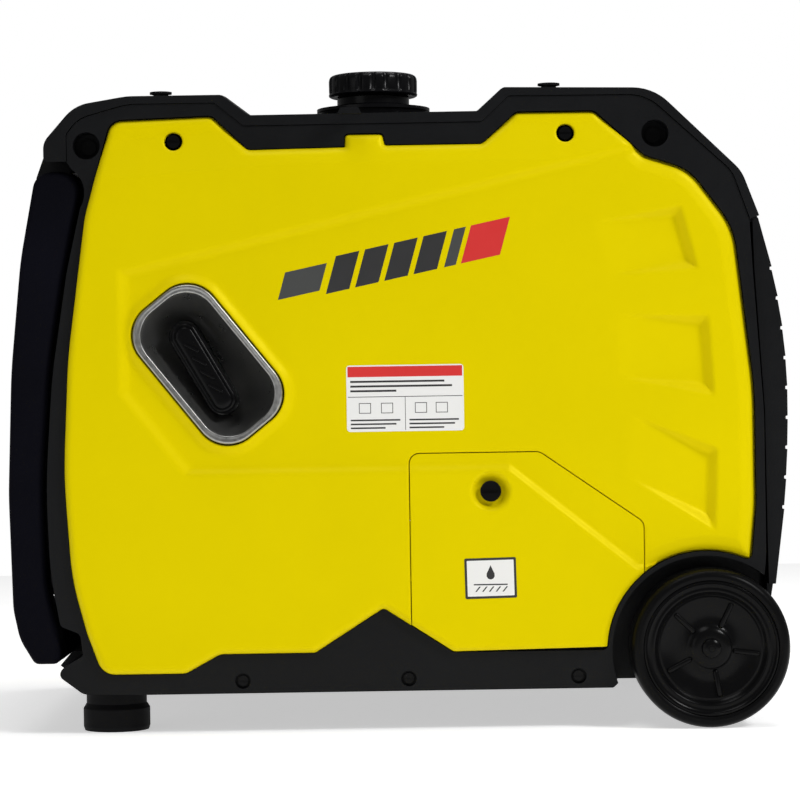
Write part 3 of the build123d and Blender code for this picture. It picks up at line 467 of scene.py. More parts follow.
def make_materials():
    """Every look by the name that the pieces below ask for."""
    yellow = (0.712, 0.577, 0.0)
    return {
        "yellow_plastic": plastic("yellow_moulding", yellow, 0.4, 0.02, 900.0, 0.00003, specular=0.4,
                                  tint=(1, 0.85, 0.02)),
        "black_plastic": plastic("black_moulding", (0.006, 0.0063, 0.007), 0.42, 0.12, 1300.0, 0.0001,
                                 specular=0.11),
        "panel_grey": plastic("control_plate", (0.06, 0.063, 0.066), 0.5, 0.08, 1500.0, 0.00008),
        "red_plastic": plastic("red_button", (0.42, 0.02, 0.015), 0.3, 0.05, 900.0, 0.00002),
        "breaker_plastic": plastic("breaker_caps", (0.02, 0.02, 0.022), 0.4, 0.1, 900.0, 0.00003),
        "rubber": plastic("soft_rubber", (0.004, 0.004, 0.0045), 0.6, 0.15, 800.0, 0.00015, specular=0.1),
        "tyre": plastic("tyre_rubber", (0.003, 0.003, 0.0032), 0.3, 0.15, 500.0, 0.0001, specular=0.06),
        "rim_plastic": plastic("rim_moulding", (0.003, 0.003, 0.0032), 0.2, 0.12, 1200.0, 0.00004,
                               specular=0.08),
        "handle_skin": plastic("handle_foam", (0.0025, 0.0025, 0.005), 0.7, 0.3, 420.0, 0.00035,
                               specular=0.04),
        "screw_steel": brushed("blackened_steel", (0.03, 0.03, 0.032), 0.42, (1, 1, 12)),
        "satin_trim": brushed("satin_ring", (0.34, 0.34, 0.33), 0.34, (1, 1, 1)),
        "tray_paint": plastic("black_enamel", (0.014, 0.014, 0.015), 0.35, 0.1, 300.0, 0.00008, coat=0.3),
        "cast_aluminium": plastic("sand_casting", (0.42, 0.42, 0.43), 0.45, 0.12, 700.0, 0.0002,
                                  metallic=1.0),
        "rotor_iron": plastic("machined_iron", (0.16, 0.155, 0.15), 0.4, 0.15, 500.0, 0.0001, metallic=0.9),
        "muffler_steel": brushed("heat_steel", (0.36, 0.33, 0.3), 0.42, (10, 1, 1)),
        "rope": plastic("rope_fibre", (0.03, 0.03, 0.032), 0.8, 0.3, 500.0, 0.0004),
        "clear_window": window("display_window"),
        "ceramic": plastic("glazed_ceramic", (0.72, 0.7, 0.66), 0.18, 0.04, 400.0, 0.00002, coat=0.4),
        "bowl": plastic("bowl_moulding", (0.24, 0.24, 0.235), 0.3, 0.1, 1500.0, 0.00003, metallic=0.9),
        "grip": plastic("grip_moulding", (0.003, 0.003, 0.0033), 0.22, 0.15, 1100.0, 0.00004, specular=0.1),
        "cap": plastic("cap_moulding", (0.0035, 0.0035, 0.0042), 0.24, 0.12, 1100.0, 0.00005, specular=0.12),
        "display": plastic("display_film", (0.16, 0.2, 0.15), 0.3, 0.04, 400.0, 0.00001),
        "print_white": plastic("white_print", (0.6, 0.6, 0.59), 0.5, 0.04, 500.0, 0.00001),
        "lamp_green": plastic("green_lens", (0.02, 0.25, 0.04), 0.2, 0.05, 400.0, 0.00001, coat=0.5),
        "lamp_amber": plastic("amber_lens", (0.6, 0.22, 0.01), 0.2, 0.05, 400.0, 0.00001, coat=0.5),
        "label_white": plastic("label_film", (0.8, 0.8, 0.79), 0.4, 0.015, 500.0, 0.00001),
        "label_red": plastic("label_red_ink", (0.62, 0.02, 0.018), 0.45, 0.04, 500.0, 0.00001),
        "label_ink": plastic("label_black_ink", (0.016, 0.016, 0.017), 0.5, 0.1, 500.0, 0.00001),
        "label_grey": plastic("label_grey_ink", (0.045, 0.047, 0.046), 0.5, 0.08, 500.0, 0.00001),
    }


MATERIALS = make_materials()


def dress(piece, slot):
    """Give a piece the material of its slot."""
    piece.data.materials.clear()
    piece.data.materials.append(MATERIALS[slot])


SPECIAL_SKINS = {
    "handle_arm_near": "handle_skin", "handle_arm_far": "handle_skin", "handle_crossbar": "handle_skin",
    "oil_door_screw": "grip", "case_screws": "grip", "filler_collar": "cap",
}


def dress_cad_nodes():
    """Give each CAD piece the look of its slot, or its own where it has one."""
    for row in frame["record"]["subparts"]:
        node = frame["nodes"][row["node"]]
        node.data.materials.clear()
        node.data.materials.append(MATERIALS[SPECIAL_SKINS.get(row["node"], row["material_slot"])])


def soften_edges(names, width, segments=2, angle=32):
    """Round the sharp edges of CAD mouldings by a small bevel."""
    for name in names:
        node = frame["nodes"][name]
        weld = node.modifiers.new("weld", "WELD")
        weld.merge_threshold = 0.00001
        bevel = node.modifiers.new("edges", "BEVEL")
        bevel.width = width * MM
        bevel.segments = segments
        bevel.limit_method = "ANGLE"
        bevel.angle_limit = radians(angle)
        bevel.harden_normals = False


# --------------------------------------------------------------------------------------- side panels
def hole_rim(points, x, z, radius):
    """Depth of the rounded rim of a screw hole."""
    away = np.hypot(points[:, 0] - x, points[:, 1] - z) - radius
    return edge_roll(np.maximum(away, 0), RIM_RADIUS)


def bowl_hole():
    """Edge of the hole in the near panel, half a millimetre clear of the starter bowl."""
    return rounded_rectangle(BOWL_X, BOWL_Z, BOWL_LENGTH + 1, BOWL_WIDTH + 1, BOWL_CORNER, BOWL_TILT)


def service_outline(growth=0.0):
    """Outline of the service cover, made longer and wider by the growth."""
    length, width = SERVICE_SIZE
    return rounded_rectangle(*SERVICE_CENTRE, length + growth, width + growth, SERVICE_CORNER)


def near_relief(points):
    """Relief of the near panel, level round the starter bowl."""
    depth = panel_relief(points)
    for x, z in PANEL_SCREWS:
        depth = depth + hole_rim(points, x, z, SCREW_HOLE_RADIUS)
    away = np.maximum(-signed_distance(points, bowl_hole()), 0)
    depth = depth * smooth(away / BOWL_FADE)
    depth = depth + edge_roll(away, RIM_RADIUS)
    return depth + door_gap_roll(points)


def door_gap_roll(points):
    """Small rounding along the seam between a panel and the oil door."""
    away = np.abs(signed_distance(points, DOOR_OUTLINE))
    inside_panel = signed_distance(points, PANEL_OUTLINE) > 3
    return np.where(inside_panel, edge_roll(away, DOOR_GAP_RADIUS), 0)


def door_relief(points):
    """Relief of the oil door, which goes on from the panel's, with a dish round its screw."""
    away = np.hypot(points[:, 0] - DOOR_SCREW[0], points[:, 1] - DOOR_SCREW[1])
    depth = panel_relief(points) + door_gap_roll(points)
    return depth + DISH_DEPTH * smooth((DISH_RADIUS - away) / DISH_SLOPE)


def service_relief(points):
    """Relief of the service cover: a rounded rim and two shallow screw dishes."""
    depth = edge_roll(np.maximum(signed_distance(points, service_outline()), 0), RIM_RADIUS)
    for x, z in SERVICE_SCREWS:
        away = np.hypot(points[:, 0] - x, points[:, 1] - z)
        depth = depth + 1.5 * smooth((11 - away) / 3)
    return depth


def far_relief(points):
    """Relief of the far panel, level round the service cover."""
    away = np.maximum(-signed_distance(points, service_outline(1)), 0)
    depth = panel_relief(points) * smooth(away / COVER_FADE)
    for x, z in PANEL_SCREWS:
        depth = depth + hole_rim(points, x, z, SCREW_HOLE_RADIUS)
    return depth + edge_roll(away, RIM_RADIUS)


def shrunk(points, amount):
    """Outline moved inwards by a small amount."""
    a = np.array(points)
    ahead = np.roll(a, -1, axis=0) - a
    behind = a - np.roll(a, 1, axis=0)
    ahead /= np.linalg.norm(ahead, axis=1)[:, None] + 1e-12
    behind /= np.linalg.norm(behind, axis=1)[:, None] + 1e-12
    tangent = ahead + behind
    tangent /= np.linalg.norm(tangent, axis=1)[:, None] + 1e-12
    normal = np.stack([-tangent[:, 1], tangent[:, 0]], 1)
    area = np.sum(a[:, 0] * np.roll(a[:, 1], -1) - a[:, 1] * np.roll(a[:, 0], -1))
    return [tuple(p) for p in a + normal * amount * (1 if area > 0 else -1)]


def make_side_panels():
    """The two panels, the oil door and the service cover, in place of the plain CAD ones."""
    screws = [circle(x, z, SCREW_HOLE_RADIUS) for x, z in PANEL_SCREWS]
    near_loops = [panel_without_door(), bowl_hole()] + screws
    near = relief_slab("panel_near_shell", near_loops, near_relief, PANEL_BACK_Y, -1)
    place(near, "yellow_plastic", "case", "side_panel_near")
    far_loops = [PANEL_OUTLINE, service_outline(0.6)] + screws
    far = relief_slab("panel_far_shell", far_loops, far_relief, PANEL_BACK_Y, 1)
    place(far, "yellow_plastic", "case", "side_panel_far")
    door = relief_slab("oil_door_shell", [shrunk(DOOR_OUTLINE, SEAM)], door_relief, COVER_BACK_Y, -1)
    place(door, "yellow_plastic", "oil_door_body", "oil_door")
    cover = relief_slab("service_cover_shell", [service_outline(-0.8)], service_relief, COVER_BACK_Y, 1)
    place(cover, "yellow_plastic", "case", "service_cover")


def panel_without_door():
    """Panel outline that runs round the door's top instead of through its area."""
    line = [corner for corner in PANEL_LINE if corner != "arch"]
    start = line.index(LOW_CORNER)
    notch = [(DOOR_LEFT, DOOR_LOW, 0)] + DOOR_TOP[::-1]
    arch = arch_corners(DOOR_ARCH_END, ARCH_END_ANGLE)
    return sampled(line[:start] + notch + arch + line[start + 1:])


# ------------------------------------------------------------------------------ lofted small pieces
def loft(name, loops, closed=False, smooth_angle=35):
    """Skin through loops of equal length, in millimetres; open ends are capped."""
    mesh = bmesh.new()
    rows = [[mesh.verts.new(Vector(p) * MM) for p in loop] for loop in loops]
    pairs = list(zip(rows, rows[1:]))
    if closed:
        pairs.append((rows[-1], rows[0]))
    for first, second in pairs:
        for i in range(len(first)):
            j = (i + 1) % len(first)
            mesh.faces.new([first[i], first[j], second[j], second[i]])
    if not closed:
        mesh.faces.new(rows[0])
        mesh.faces.new(rows[-1])
    bmesh.ops.remove_doubles(mesh, verts=mesh.verts, dist=0.000002)
    bmesh.ops.recalc_face_normals(mesh, faces=mesh.faces)
    return finish_mesh(name, mesh, smooth_angle)


def place(piece, slot, body, *replaced):
    """Dress a piece, let it ride on a body, and hide the CAD nodes that it stands for."""
    dress(piece, slot)
    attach(piece, body)
    if replaced:
        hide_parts(*replaced)
    return piece


def lathe_y(name, profile, x, z, side=-1, count=96, closed=True, smooth_angle=35):
    """Turned piece about an axis along Y; the profile holds (radius, distance from the middle plane)."""
    loops = []
    for radius, y in profile:
        loops.append([(px, side * y, pz) for px, pz in circle(x, z, max(radius, 0.001), count)])
    return loft(name, loops, closed, smooth_angle)


def rounded_loop(x, z, length, width, radius, tilt, y):
    """Rounded rectangle in the side view with a fixed number of points."""
    points = []
    radius = min(radius, length / 2 - 0.01, width / 2 - 0.01)
    corners = [(1, 1, 0), (-1, 1, 90), (-1, -1, 180), (1, -1, 270)]
    for sx, sz, start in corners:
        cx, cz = sx * (length / 2 - radius), sz * (width / 2 - radius)
        for k in range(13):
            angle = radians(start + 90 * k / 12)
            px, pz = cx + radius * cos(angle), cz + radius * sin(angle)
            points.append((x + px * cos(tilt) - pz * sin(tilt), y, z + px * sin(tilt) + pz * cos(tilt)))
    return points


def pad(name, x, z, length, width, radius, tilt, steps, smooth_angle=50):
    """Rounded bar whose outline shrinks by each (inset, y) step."""
    loops = []
    for inset, y in steps:
        size = length - 2 * inset, width - 2 * inset
        loops.append(rounded_loop(x, z, *size, max(radius - inset, 0.3), tilt, y))
    return loft(name, loops, False, smooth_angle)


# ------------------------------------------------------------------------------------ recoil starter
GRIP_X, GRIP_Z, GRIP_TILT = -149.5, 281.0, radians(-60)
GRIP_LENGTH, GRIP_WIDTH, GRIP_CORNER = 81, 25, 12
# Profiles as (inset of the outline, distance from the middle plane).
BOWL_WALL = [(4.2, 196.2), (5.0, 196.9), (6.0, 195.5), (8.0, 190.0), (11.0, 183.0), (15.5, 175.0),
             (21.0, 168.6), (27.0, 165.2), (34.0, 164.2)]


def bowl_loop(inset, depth):
    """Edge of the bowl at one depth; the corners tighten more slowly than the sides come in."""
    size = BOWL_LENGTH - 2 * inset, BOWL_WIDTH - 2 * inset
    return rounded_loop(BOWL_X, BOWL_Z, *size, BOWL_CORNER - 0.45 * inset, BOWL_TILT, -depth)


RING_STEPS = [(0.3, 196.2), (0.2, 199.6), (0.7, 201.0), (1.7, 201.5), (2.6, 201.1), (3.8, 200.9),
              (4.7, 201.2), (5.4, 200.6), (5.6, 199.0), (5.6, 197.2)]
GRIP_STEPS = [(1.5, -170.3), (0, -172), (0, -182.5), (0.5, -185.6), (1.6, -187.9), (3.0, -189.2),
              (4.2, -189.6), (4.6, -188.9), (5.2, -188.9), (5.7, -189.5), (8.0, -189.9), (11.0, -190.0)]
GRIP_RIB_STEPS = [(0, -189.4), (0, -190.7), (0.5, -191.3), (1.0, -191.4)]


def make_starter():
    """The bowl, its bright ring, and the grip with four slanted ribs."""
    back = [(inset + 0.4, depth - 2.4) for inset, depth in reversed(BOWL_WALL[3:])]
    back += [(3.0, 188.0), (3.0, 195.8)]
    bowl = loft("starter_cup", [bowl_loop(*step) for step in back + BOWL_WALL], False, 50)
    place(bowl, "black_plastic", "case", "starter_bowl")
    bowl.data.materials[0] = MATERIALS["bowl"]
    ring = loft("starter_ring", [bowl_loop(*step) for step in RING_STEPS], True, 60)
    place(ring, "satin_trim", "case", "starter_bezel")
    size = GRIP_LENGTH, GRIP_WIDTH, GRIP_CORNER
    grip = pad("starter_handle", GRIP_X, GRIP_Z, *size, GRIP_TILT, GRIP_STEPS)
    place(grip, "rubber", "starter_pull", "starter_grip")
    grip.data.materials[0] = MATERIALS["grip"]
    for number in range(4):
        along = -18 + 12 * number
        x = GRIP_X + along * cos(GRIP_TILT)
        z = GRIP_Z + along * sin(GRIP_TILT)
        rib = pad(f"starter_handle_rib_{number}", x, z, 13.5, 2.6, 1.3, radians(-28), GRIP_RIB_STEPS)
        place(rib, "rubber", "starter_pull")
        rib.data.materials[0] = MATERIALS["grip"]


# -------------------------------------------------------------------------------------------- wheels
WHEEL_X, WHEEL_Z = 236.0, 61.0
# Turned profiles as (radius, distance from the middle plane).
TYRE_PROFILE = [
    (52, 213), (53.2, 213.8), (55, 214), (57.2, 213.3), (59, 211.6), (60.3, 208.8), (61, 204.5), (61, 200.6),
    (60.1, 200.2), (60.1, 198.8), (61, 198.4), (61, 189.6), (60.1, 189.2), (60.1, 187.8), (61, 187.4),
    (61, 183.5), (60.3, 179.2), (59, 176.4), (57, 174.6), (54, 174), (52, 175),
]
RIM_PROFILE = [
    (51.9, 176), (51.9, 211.8), (51.2, 212.6), (50.2, 212.7), (49.4, 211.9), (48.4, 210.4), (45.8, 210.0),
    (44.9, 210.4), (43.9, 210.5), (43.0, 209.9), (41.6, 207.8), (40.0, 206.6), (38.9, 206.9), (38.0, 206.9),
    (37.0, 206.0), (20, 205.4), (17.4, 206.2), (15.6, 208.0), (13.6, 209.6), (11.0, 210.2), (8.6, 210.3),
    (6.1, 210.3), (6.1, 174.2), (18, 174.2), (18, 201), (41, 201), (44, 176.4),
]
AXLE_CAP_PROFILE = [
    (0, 215), (2.2, 214.9), (2.6, 214.4), (3.4, 214.4), (5.4, 213.9), (6.9, 212.8), (7.5, 211.4),
    (7.5, 210.4), (0, 210.4),
]
RIB_ANGLES = [-8, 64, 136, 208, 280]
RIB_REACH, RIB_LENGTH, RIB_WIDTH = 27.5, 21, 4.2


def make_wheels():
    """Tyre, ribbed rim and axle cap on both sides."""
    for name, side in (("near", -1), ("far", 1)):
        body = f"wheel_{name}"
        tyre = lathe_y(f"tyre_{name}_turned", TYRE_PROFILE, WHEEL_X, WHEEL_Z, side)
        place(tyre, "tyre", body, f"tyre_{name}")
        rim = lathe_y(f"rim_{name}_turned", RIM_PROFILE, WHEEL_X, WHEEL_Z, side, smooth_angle=50)
        place(rim, "rim_plastic", body, f"wheel_rim_{name}")
        for number, angle in enumerate(RIB_ANGLES):
            turn = radians(angle)
            x, z = WHEEL_X + RIB_REACH * cos(turn), WHEEL_Z + RIB_REACH * sin(turn)
            steps = [(0, side * 204.6), (0, side * 206.6), (0.6, side * 207.6), (1.3, side * 207.9)]
            rib = pad(f"rim_rib_{name}_{number}", x, z, RIB_LENGTH, RIB_WIDTH, RIB_WIDTH / 2, turn, steps)
            place(rib, "rim_plastic", body)
        hub = lathe_y(f"axle_cap_{name}", AXLE_CAP_PROFILE, WHEEL_X, WHEEL_Z, side, 48, False, 30)
        # The CAD holds both caps in one node, so the near cap stands for the pair.
        place(hub, "rim_plastic", "case", *(["axle_caps"] if side < 0 else []))


# ------------------------------------------------------------------------------------------ fuel cap
CAP_X = -17.0
CAP_FLUTES = 20
# Rows of the cap as (radius, height, depth of the flutes).
CAP_ROWS = [
    (0, 509.6, 0), (29.8, 509.6, 0), (29.8, 507.4, 0), (33.5, 507.1, 0), (35.6, 507.1, 0), (36.7, 507.8, 0),
    (37.0, 508.9, 0), (36.6, 510.0, 0.3), (36.8, 511.2, 1.7), (36.9, 520.0, 1.9), (36.5, 522.2, 1.7),
    (35.6, 523.8, 1.0), (34.2, 524.8, 0.2), (32.4, 525.2, 0), (30.6, 525.2, 0), (29.8, 524.7, 0),
    (29.0, 524.8, 0), (27.0, 525.2, 0), (18.0, 525.9, 0), (8.0, 526.3, 0), (0, 526.5, 0),
]


def make_fuel_cap():
    """Round cap with flutes down its side."""
    loops = []
    count = CAP_FLUTES * 12
    for radius, z, flute in CAP_ROWS:
        loop = []
        for i in range(count):
            angle = 2 * pi * i / count
            wave = max(0.0, cos(CAP_FLUTES * angle)) ** 0.6
            reach = max(radius - flute * wave, 0.001)
            loop.append((CAP_X + reach * cos(angle), reach * sin(angle), z))
        loops.append(loop)
    cap = loft("fuel_cap_fluted", loops, False, 45)
    place(cap, "black_plastic", "fuel_cap_body", "fuel_cap")
    cap.data.materials[0] = MATERIALS["cap"]


# -------------------------------------------------------------------------------------- handle arms
ARM_LINE = [
    (-276.8, 434, 14), (-289.5, 366, 300), (-298, 280, 500), (-301.4, 185, 300), (-299.2, 97, 60),
    (-294.5, 74, 40), (-283, 54.6, 6), (-262, 54.6, 6), (-264.5, 80, 12), (-273, 115, 100),
    (-274.5, 190, 400), (-267, 290, 400), (-258, 343, 200), (-240.2, 434, 17),
]
ARM_STEPS = [(5.0, 190.0), (3.1, 189.6), (1.5, 188.5), (0.4, 186.9), (0, 185.0),
             (0, 161.0), (0.9, 158.9), (3.0, 158.0)]    # inset of the outline, distance from the middle plane


def make_handle_arms():
    """Two curved arms with rounded edges, which ride on the handle in place of the plain ones."""
    outline_points = sampled(ARM_LINE)
    for name, side in (("near", -1), ("far", 1)):
        loops = [[(x, side * y, z) for x, z in shrunk(outline_points, inset)] for inset, y in ARM_STEPS]
        arm = loft(f"handle_arm_{name}_moulded", loops, False, 50)
        place(arm, "black_plastic", "handle", f"handle_arm_{name}")
        arm.data.materials[0] = MATERIALS["handle_skin"]


# ------------------------------------------------------------------------------------ closing strips
STRIPS = {
    "bezel_lip": ([(-275, 448.5), (-281, 432), (-254, 432), (-254, 448.5)], 148),
    "bezel_kick_lip": ([(-268, 50), (-258.5, 61), (-249.5, 61), (-262, 46)], 148),
    "rear_seam_strip": ([(271, 387), (280.5, 387), (278, 394), (271, 394)], 186),
}
DECK_TAB = [(-43, 473), (-40.5, 477.6), (-27, 477.6), (-24.5, 473)]


def make_strips():
    """Strips that close the seams between the case's mouldings, and a tab on the deck's edge."""
    for name, (section, half) in STRIPS.items():
        plate(name, section, -half, half, "black_plastic", "black_plastic")
    plate("deck_tab", DECK_TAB, 203, 212.5, "black_plastic", "black_plastic")


# ------------------------------------------------------------------------------------------- labels
PLATEAU_Y = PANEL_Y - PLATEAU_DEPTH
LABEL_LIFT = 0.25
LABEL_X, LABEL_Z, LABEL_WIDTH, LABEL_HEIGHT = 5.5, 255.5, 90.0, 51.0
OIL_LABEL_X, OIL_LABEL_Z, OIL_LABEL_TILT = 68.8, 116.5, radians(1.0)
STRIPE_X, STRIPE_Z, STRIPE_RISE, STRIPE_LEAN = -20, 357, 0.21, 0.28


def plate(name, points, back_y, front_y, slot, material, body="case", side=-1):
    """Flat shape in the side view that runs between two distances from the middle plane."""
    loops = [[(x, side * y, z) for x, z in points] for y in (back_y, front_y)]
    piece = place(loft(name, loops, False, 20), slot, body)
    piece.data.materials[0] = MATERIALS[material]
    return piece


def bar(x_low, x_high, z_low, z_high):
    """Corners of an upright rectangle."""
    return [(x_low, z_low), (x_high, z_low), (x_high, z_high), (x_low, z_high)]


def make_info_label():
    """White label with a red head strip, plain dark lines and four empty boxes; no words."""
    face = PLATEAU_Y + LABEL_LIFT
    left, right = LABEL_X - LABEL_WIDTH / 2, LABEL_X + LABEL_WIDTH / 2
    low, high = LABEL_Z - LABEL_HEIGHT / 2, LABEL_Z + LABEL_HEIGHT / 2
    sheet = rounded_rectangle(LABEL_X, LABEL_Z, LABEL_WIDTH, LABEL_HEIGHT, 2.5)
    plate("label_sheet", sheet, PLATEAU_Y - 0.3, face, "ceramic", "label_white")
    ink = face + 0.04
    head = bar(left + 1, right - 1, high - 9, high - 1)
    plate("label_head", head, face - 0.05, ink, "red_plastic", "label_red")
    divider = low + 0.44 * LABEL_HEIGHT + 4
    rules = [bar(left + 1, right - 1, divider, divider + 0.5),
             bar(LABEL_X - 0.2, LABEL_X + 0.2, low + 1, divider)]
    for number, share in enumerate((0.86, 0.93, 0.42)):
        z = high - 12.6 - 3.6 * number
        rules.append(bar(left + 3, left + 3 + share * (LABEL_WIDTH - 6), z - 0.75, z + 0.75))
    for column in (left + 3, LABEL_X + 3):
        for number, share in enumerate((1.0, 0.92, 0.7)):
            z = low + 8.8 - 3.0 * number
            rules.append(bar(column, column + share * 38, z - 0.6, z + 0.6))
    for x in (left + 14, left + 31, LABEL_X + 12, LABEL_X + 28):
        z = low + 18.0
        rules += frame_bars(x - 4.6, x + 4.6, z - 4.0, z + 4.0, 0.5)
    for number, shape in enumerate(rules):
        plate(f"label_line_{number}", shape, face - 0.05, ink, "breaker_plastic", "label_ink")


def frame_bars(left, right, low, high, line):
    """Four thin bars along the inside of a rectangle's edges."""
    return [bar(left, right, high - line, high), bar(left, right, low, low + line),
            bar(left, left + line, low, high), bar(right - line, right, low, high)]


def make_oil_label():
    """Pictogram of a falling drop over a level line, in a black border."""
    face = PANEL_Y + 0.22
    x, z, tilt = OIL_LABEL_X, OIL_LABEL_Z, OIL_LABEL_TILT
    body = "oil_door_body"
    border = rounded_rectangle(x, z, 39.5, 31, 1.2, tilt)
    plate("oil_label_border", border, PANEL_Y - 0.3, face, "breaker_plastic", "label_ink", body)
    sheet = rounded_rectangle(x, z, 35.9, 27.4, 0.5, tilt)
    plate("oil_label_sheet", sheet, face - 0.05, face + 0.05, "ceramic", "label_white", body)
    ink = face + 0.09
    drop = [(0, 10), (1.6, 6.4), (3.0, 3.6), (3.1, 1.4), (2.0, -0.4),
            (0, -1.1), (-2.0, -0.4), (-3.1, 1.4), (-3.0, 3.6), (-1.6, 6.4)]
    marks = [[(x + px, z + pz) for px, pz in drop], bar(x - 13, x + 13, z - 5.4, z - 4.4)]
    for number in range(5):
        start, low, high = x - 12 + 5.2 * number, z - 10.4, z - 6.4
        marks.append([(start, low), (start + 1.2, low), (start + 4.4, high), (start + 3.2, high)])
    for number, shape in enumerate(marks):
        plate(f"oil_label_mark_{number}", shape, face, ink, "breaker_plastic", "label_ink", body)


def make_stripes():
    """Plain slanted stripes that rise to the rear, ending in a red one."""
    face = PLATEAU_Y + 0.12
    spans = [(-88, -56, 21, "label_grey")]
    spans += [(-50 + 22.5 * k, -50 + 22.5 * k + 18, 29, "label_ink") for k in range(4)]
    spans += [(41, 50, 29, "label_grey"), (54, 84, 29, "label_red")]
    for number, (low, high, tall, material) in enumerate(spans):
        centre = (low + high) / 2
        middle = STRIPE_Z + STRIPE_RISE * (centre - STRIPE_X)
        corners = []
        for x, up in ((low, -1), (high, -1), (high, 1), (low, 1)):
            z = middle + up * tall / 2 + STRIPE_RISE * (x - centre)
            corners.append((x + STRIPE_LEAN * up * tall / 2, z))
        plate(f"stripe_{number}", corners, PLATEAU_Y - 0.3, face, "breaker_plastic", material)


# --------------------------------------------------------------------------------------- control end
PLATE_X = 262.0
LENS_X = 264.0
LENS_Y, LENS_Z = -50.0, 345.0
KNOB_Y, KNOB_Z = 66.0, 345.0
SOCKET_Y, SOCKET_Z = (-62.0, 0.0), 175.0
DIGIT_PITCH = 14
LAMP_Y, LAMP_Z, LAMP_PITCH = -50, 300.0, 16
LAMP_ROWS = [(4.2, -0.5), (4.2, 0.8), (3.4, 1.8), (2.0, 2.5), (0.001, 2.8)]   # radius, height off the plate


def front_print(name, points, back_x, lift, material):
    """Thin printed shape on the control end; the points are (y, z)."""
    loops = [[(-x, y, z) for y, z in points] for x in (back_x - 0.3, back_x + lift)]
    piece = place(loft(name, loops, False, 20), "breaker_plastic", "case")
    piece.data.materials[0] = MATERIALS[material]


def make_display():
    """Pale field on the lens with four digits of seven bars each."""
    field = rounded_rectangle(LENS_Y, LENS_Z, 66, 34, 2)
    front_print("display_field", field, LENS_X, 0.15, "display")
    for digit in range(4):
        middle = LENS_Y + 21 - DIGIT_PITCH * digit
        for up in (-1, 0, 1):
            z = LENS_Z + 9 * up
            shape = bar(middle - 3.2, middle + 3.2, z - 0.7, z + 0.7)
            front_print(f"digit_{digit}_bar_{up + 1}", shape, LENS_X, 0.2, "label_ink")
        for side in (-1, 1):
            for half in (-1, 1):
                y, z = middle + 4.3 * side, LENS_Z + 4.5 * half
                shape = bar(y - 0.7, y + 0.7, z - 3.3, z + 3.3)
                front_print(f"digit_{digit}_side_{side + 1}_{half + 1}", shape, LENS_X, 0.2, "label_ink")


def make_panel_print():
    """Dial marks, the frames round the sockets and three indicator lamps."""
    for number in range(7):
        angle = radians(30 + 20 * number)
        across, up = cos(angle), sin(angle)
        line = [(-0.5, 27), (0.5, 27), (0.5, 32), (-0.5, 32)]
        shape = [(KNOB_Y + p * up + q * across, KNOB_Z - p * across + q * up) for p, q in line]
        front_print(f"dial_mark_{number}", shape, PLATE_X, 0.15, "print_white")
    low, high = SOCKET_Z - 33, SOCKET_Z + 33
    left, right = SOCKET_Y[0] - 33, SOCKET_Y[1] + 33
    for number, shape in enumerate(frame_bars(left, right, low, high, 0.8)):
        front_print(f"socket_frame_{number}", shape, PLATE_X, 0.15, "print_white")
    for number, material in enumerate(("lamp_green", "lamp_amber", "red_plastic")):
        middle = LAMP_Y + LAMP_PITCH * (number - 1)
        loops = []
        for radius, lift in LAMP_ROWS:
            loops.append([(-PLATE_X - lift, y, z) for y, z in circle(middle, LAMP_Z, radius, 32)])
        lamp = place(loft(f"lamp_{number}", loops, False, 50), "red_plastic", "case")
        lamp.data.materials[0] = MATERIALS[material]


# --------------------------------------------------------------------------------- camera and lights
VIEW_DISTANCE = 2.2        # from the camera to the near panel's plane
VIEW_HEIGHT = 0.254
VIEW_WIDTH = 0.6128        # width of the view at the near panel's plane
VIEW_ROLL = radians(0.9)
SENSOR = 36.0


def make_camera():
    """Camera that looks level and straight at the near side, rolled a little about its own axis."""
    data = bpy.data.cameras.new("camera")
    data.sensor_width = SENSOR
    data.lens = SENSOR * VIEW_DISTANCE / VIEW_WIDTH
    camera = bpy.data.objects.new("camera", data)
    camera.location = (0.0015, -PANEL_Y * MM - VIEW_DISTANCE, VIEW_HEIGHT)
    camera.rotation_euler = (radians(90), VIEW_ROLL, 0)
    bpy.context.scene.collection.objects.link(camera)
    bpy.context.scene.camera = camera


def area_light(name, spot, aim, size, power):
    """White rectangular light that faces its aim."""
    data = bpy.data.lights.new(name, "AREA")
    data.shape = "RECTANGLE"
    data.size, data.size_y = size
    data.energy = power
    light = bpy.data.objects.new(name, data)
    light.location = spot
    light.rotation_euler = (Vector(aim) - Vector(spot)).to_track_quat("-Z", "Y").to_euler()
    bpy.context.scene.collection.objects.link(light)


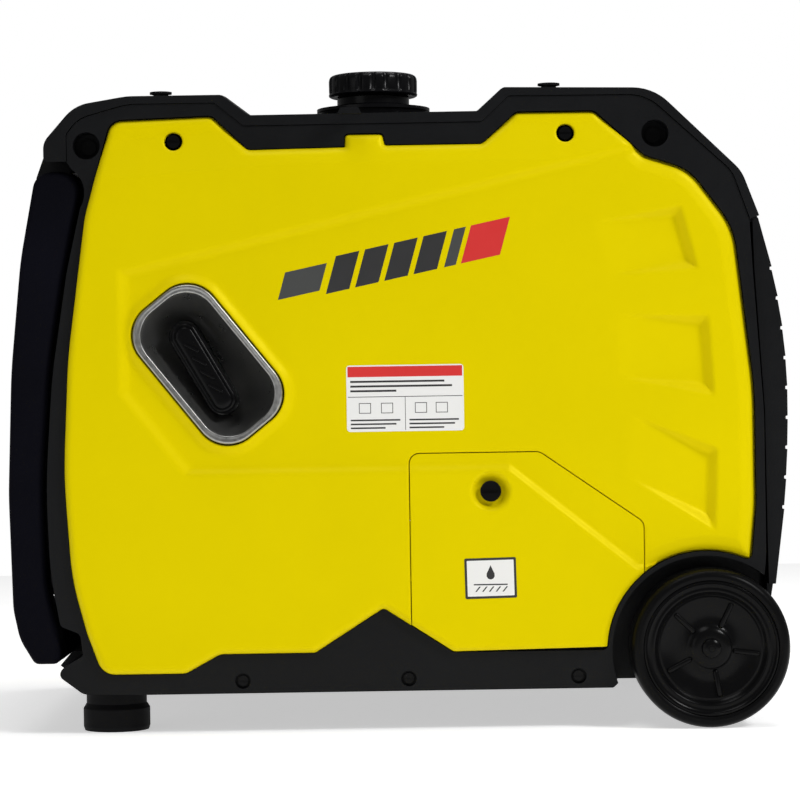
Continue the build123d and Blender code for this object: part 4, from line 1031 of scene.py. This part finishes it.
def make_world():
    """White backdrop for the camera and a dimmer white for the light that it sheds."""
    world = bpy.data.worlds.new("studio")
    world.use_nodes = True
    tree = world.node_tree
    ambient = tree.nodes["Background"]
    ambient.inputs["Color"].default_value = (1, 1, 1, 1)
    ambient.inputs["Strength"].default_value = 0.22
    backdrop = tree.nodes.new("ShaderNodeBackground")
    backdrop.inputs["Strength"].default_value = 1.0
    backdrop.inputs["Color"].default_value = (1, 1, 1, 1)
    rays = tree.nodes.new("ShaderNodeLightPath")
    blend = tree.nodes.new("ShaderNodeMixShader")
    tree.links.new(rays.outputs["Is Camera Ray"], blend.inputs[0])
    tree.links.new(ambient.outputs[0], blend.inputs[1])
    tree.links.new(backdrop.outputs[0], blend.inputs[2])
    tree.links.new(blend.outputs[0], tree.nodes["World Output"].inputs["Surface"])
    bpy.context.scene.world = world


def make_lights():
    """Key high beyond the wheel end, fill low beyond the handle end, and two lights from above."""
    area_light("key", (1.7, -1.4, 1.9), (0, 0, 0.25), (0.6, 0.6), 36)
    area_light("fill", (-1.8, -1.9, 0.7), (0, 0, 0.25), (1.2, 1.2), 4)
    area_light("top", (0.3, 0.2, 2.0), (0, 0, 0.3), (1.0, 1.0), 18)
    area_light("front_top", (-0.35, -0.8, 1.9), (-0.1, -0.2, 0.35), (0.7, 0.7), 6)


def make_floor():
    """Pale floor that glows a little, so that it stays close to the backdrop."""
    mesh = bmesh.new()
    bmesh.ops.create_grid(mesh, x_segments=1, y_segments=1, size=1.9)
    floor = finish_mesh("floor", mesh)
    nodes = Nodes("pale_floor")
    speckle = nodes.spread(nodes.noise(30.0, 3.0), 0, 1)
    nodes.link(nodes.mix(speckle, (0.86, 0.86, 0.86), (0.9, 0.9, 0.9)), nodes.shader.inputs["Base Color"])
    nodes.shader.inputs["Roughness"].default_value = 0.7
    nodes.shader.inputs["Emission Color"].default_value = (1, 1, 1, 1)
    nodes.shader.inputs["Emission Strength"].default_value = 0.5
    floor.data.materials.append(nodes.material)


make_camera()
make_world()
make_lights()
make_floor()
bpy.context.scene.view_settings.view_transform = "Standard"
dress_cad_nodes()
soften_edges(["side_frame_near", "side_frame_far", "top_cover"], 1.5)
make_side_panels()
make_starter()
make_wheels()
make_fuel_cap()
make_handle_arms()
make_strips()
make_info_label()
make_oil_label()
make_stripes()
make_display()
make_panel_print()
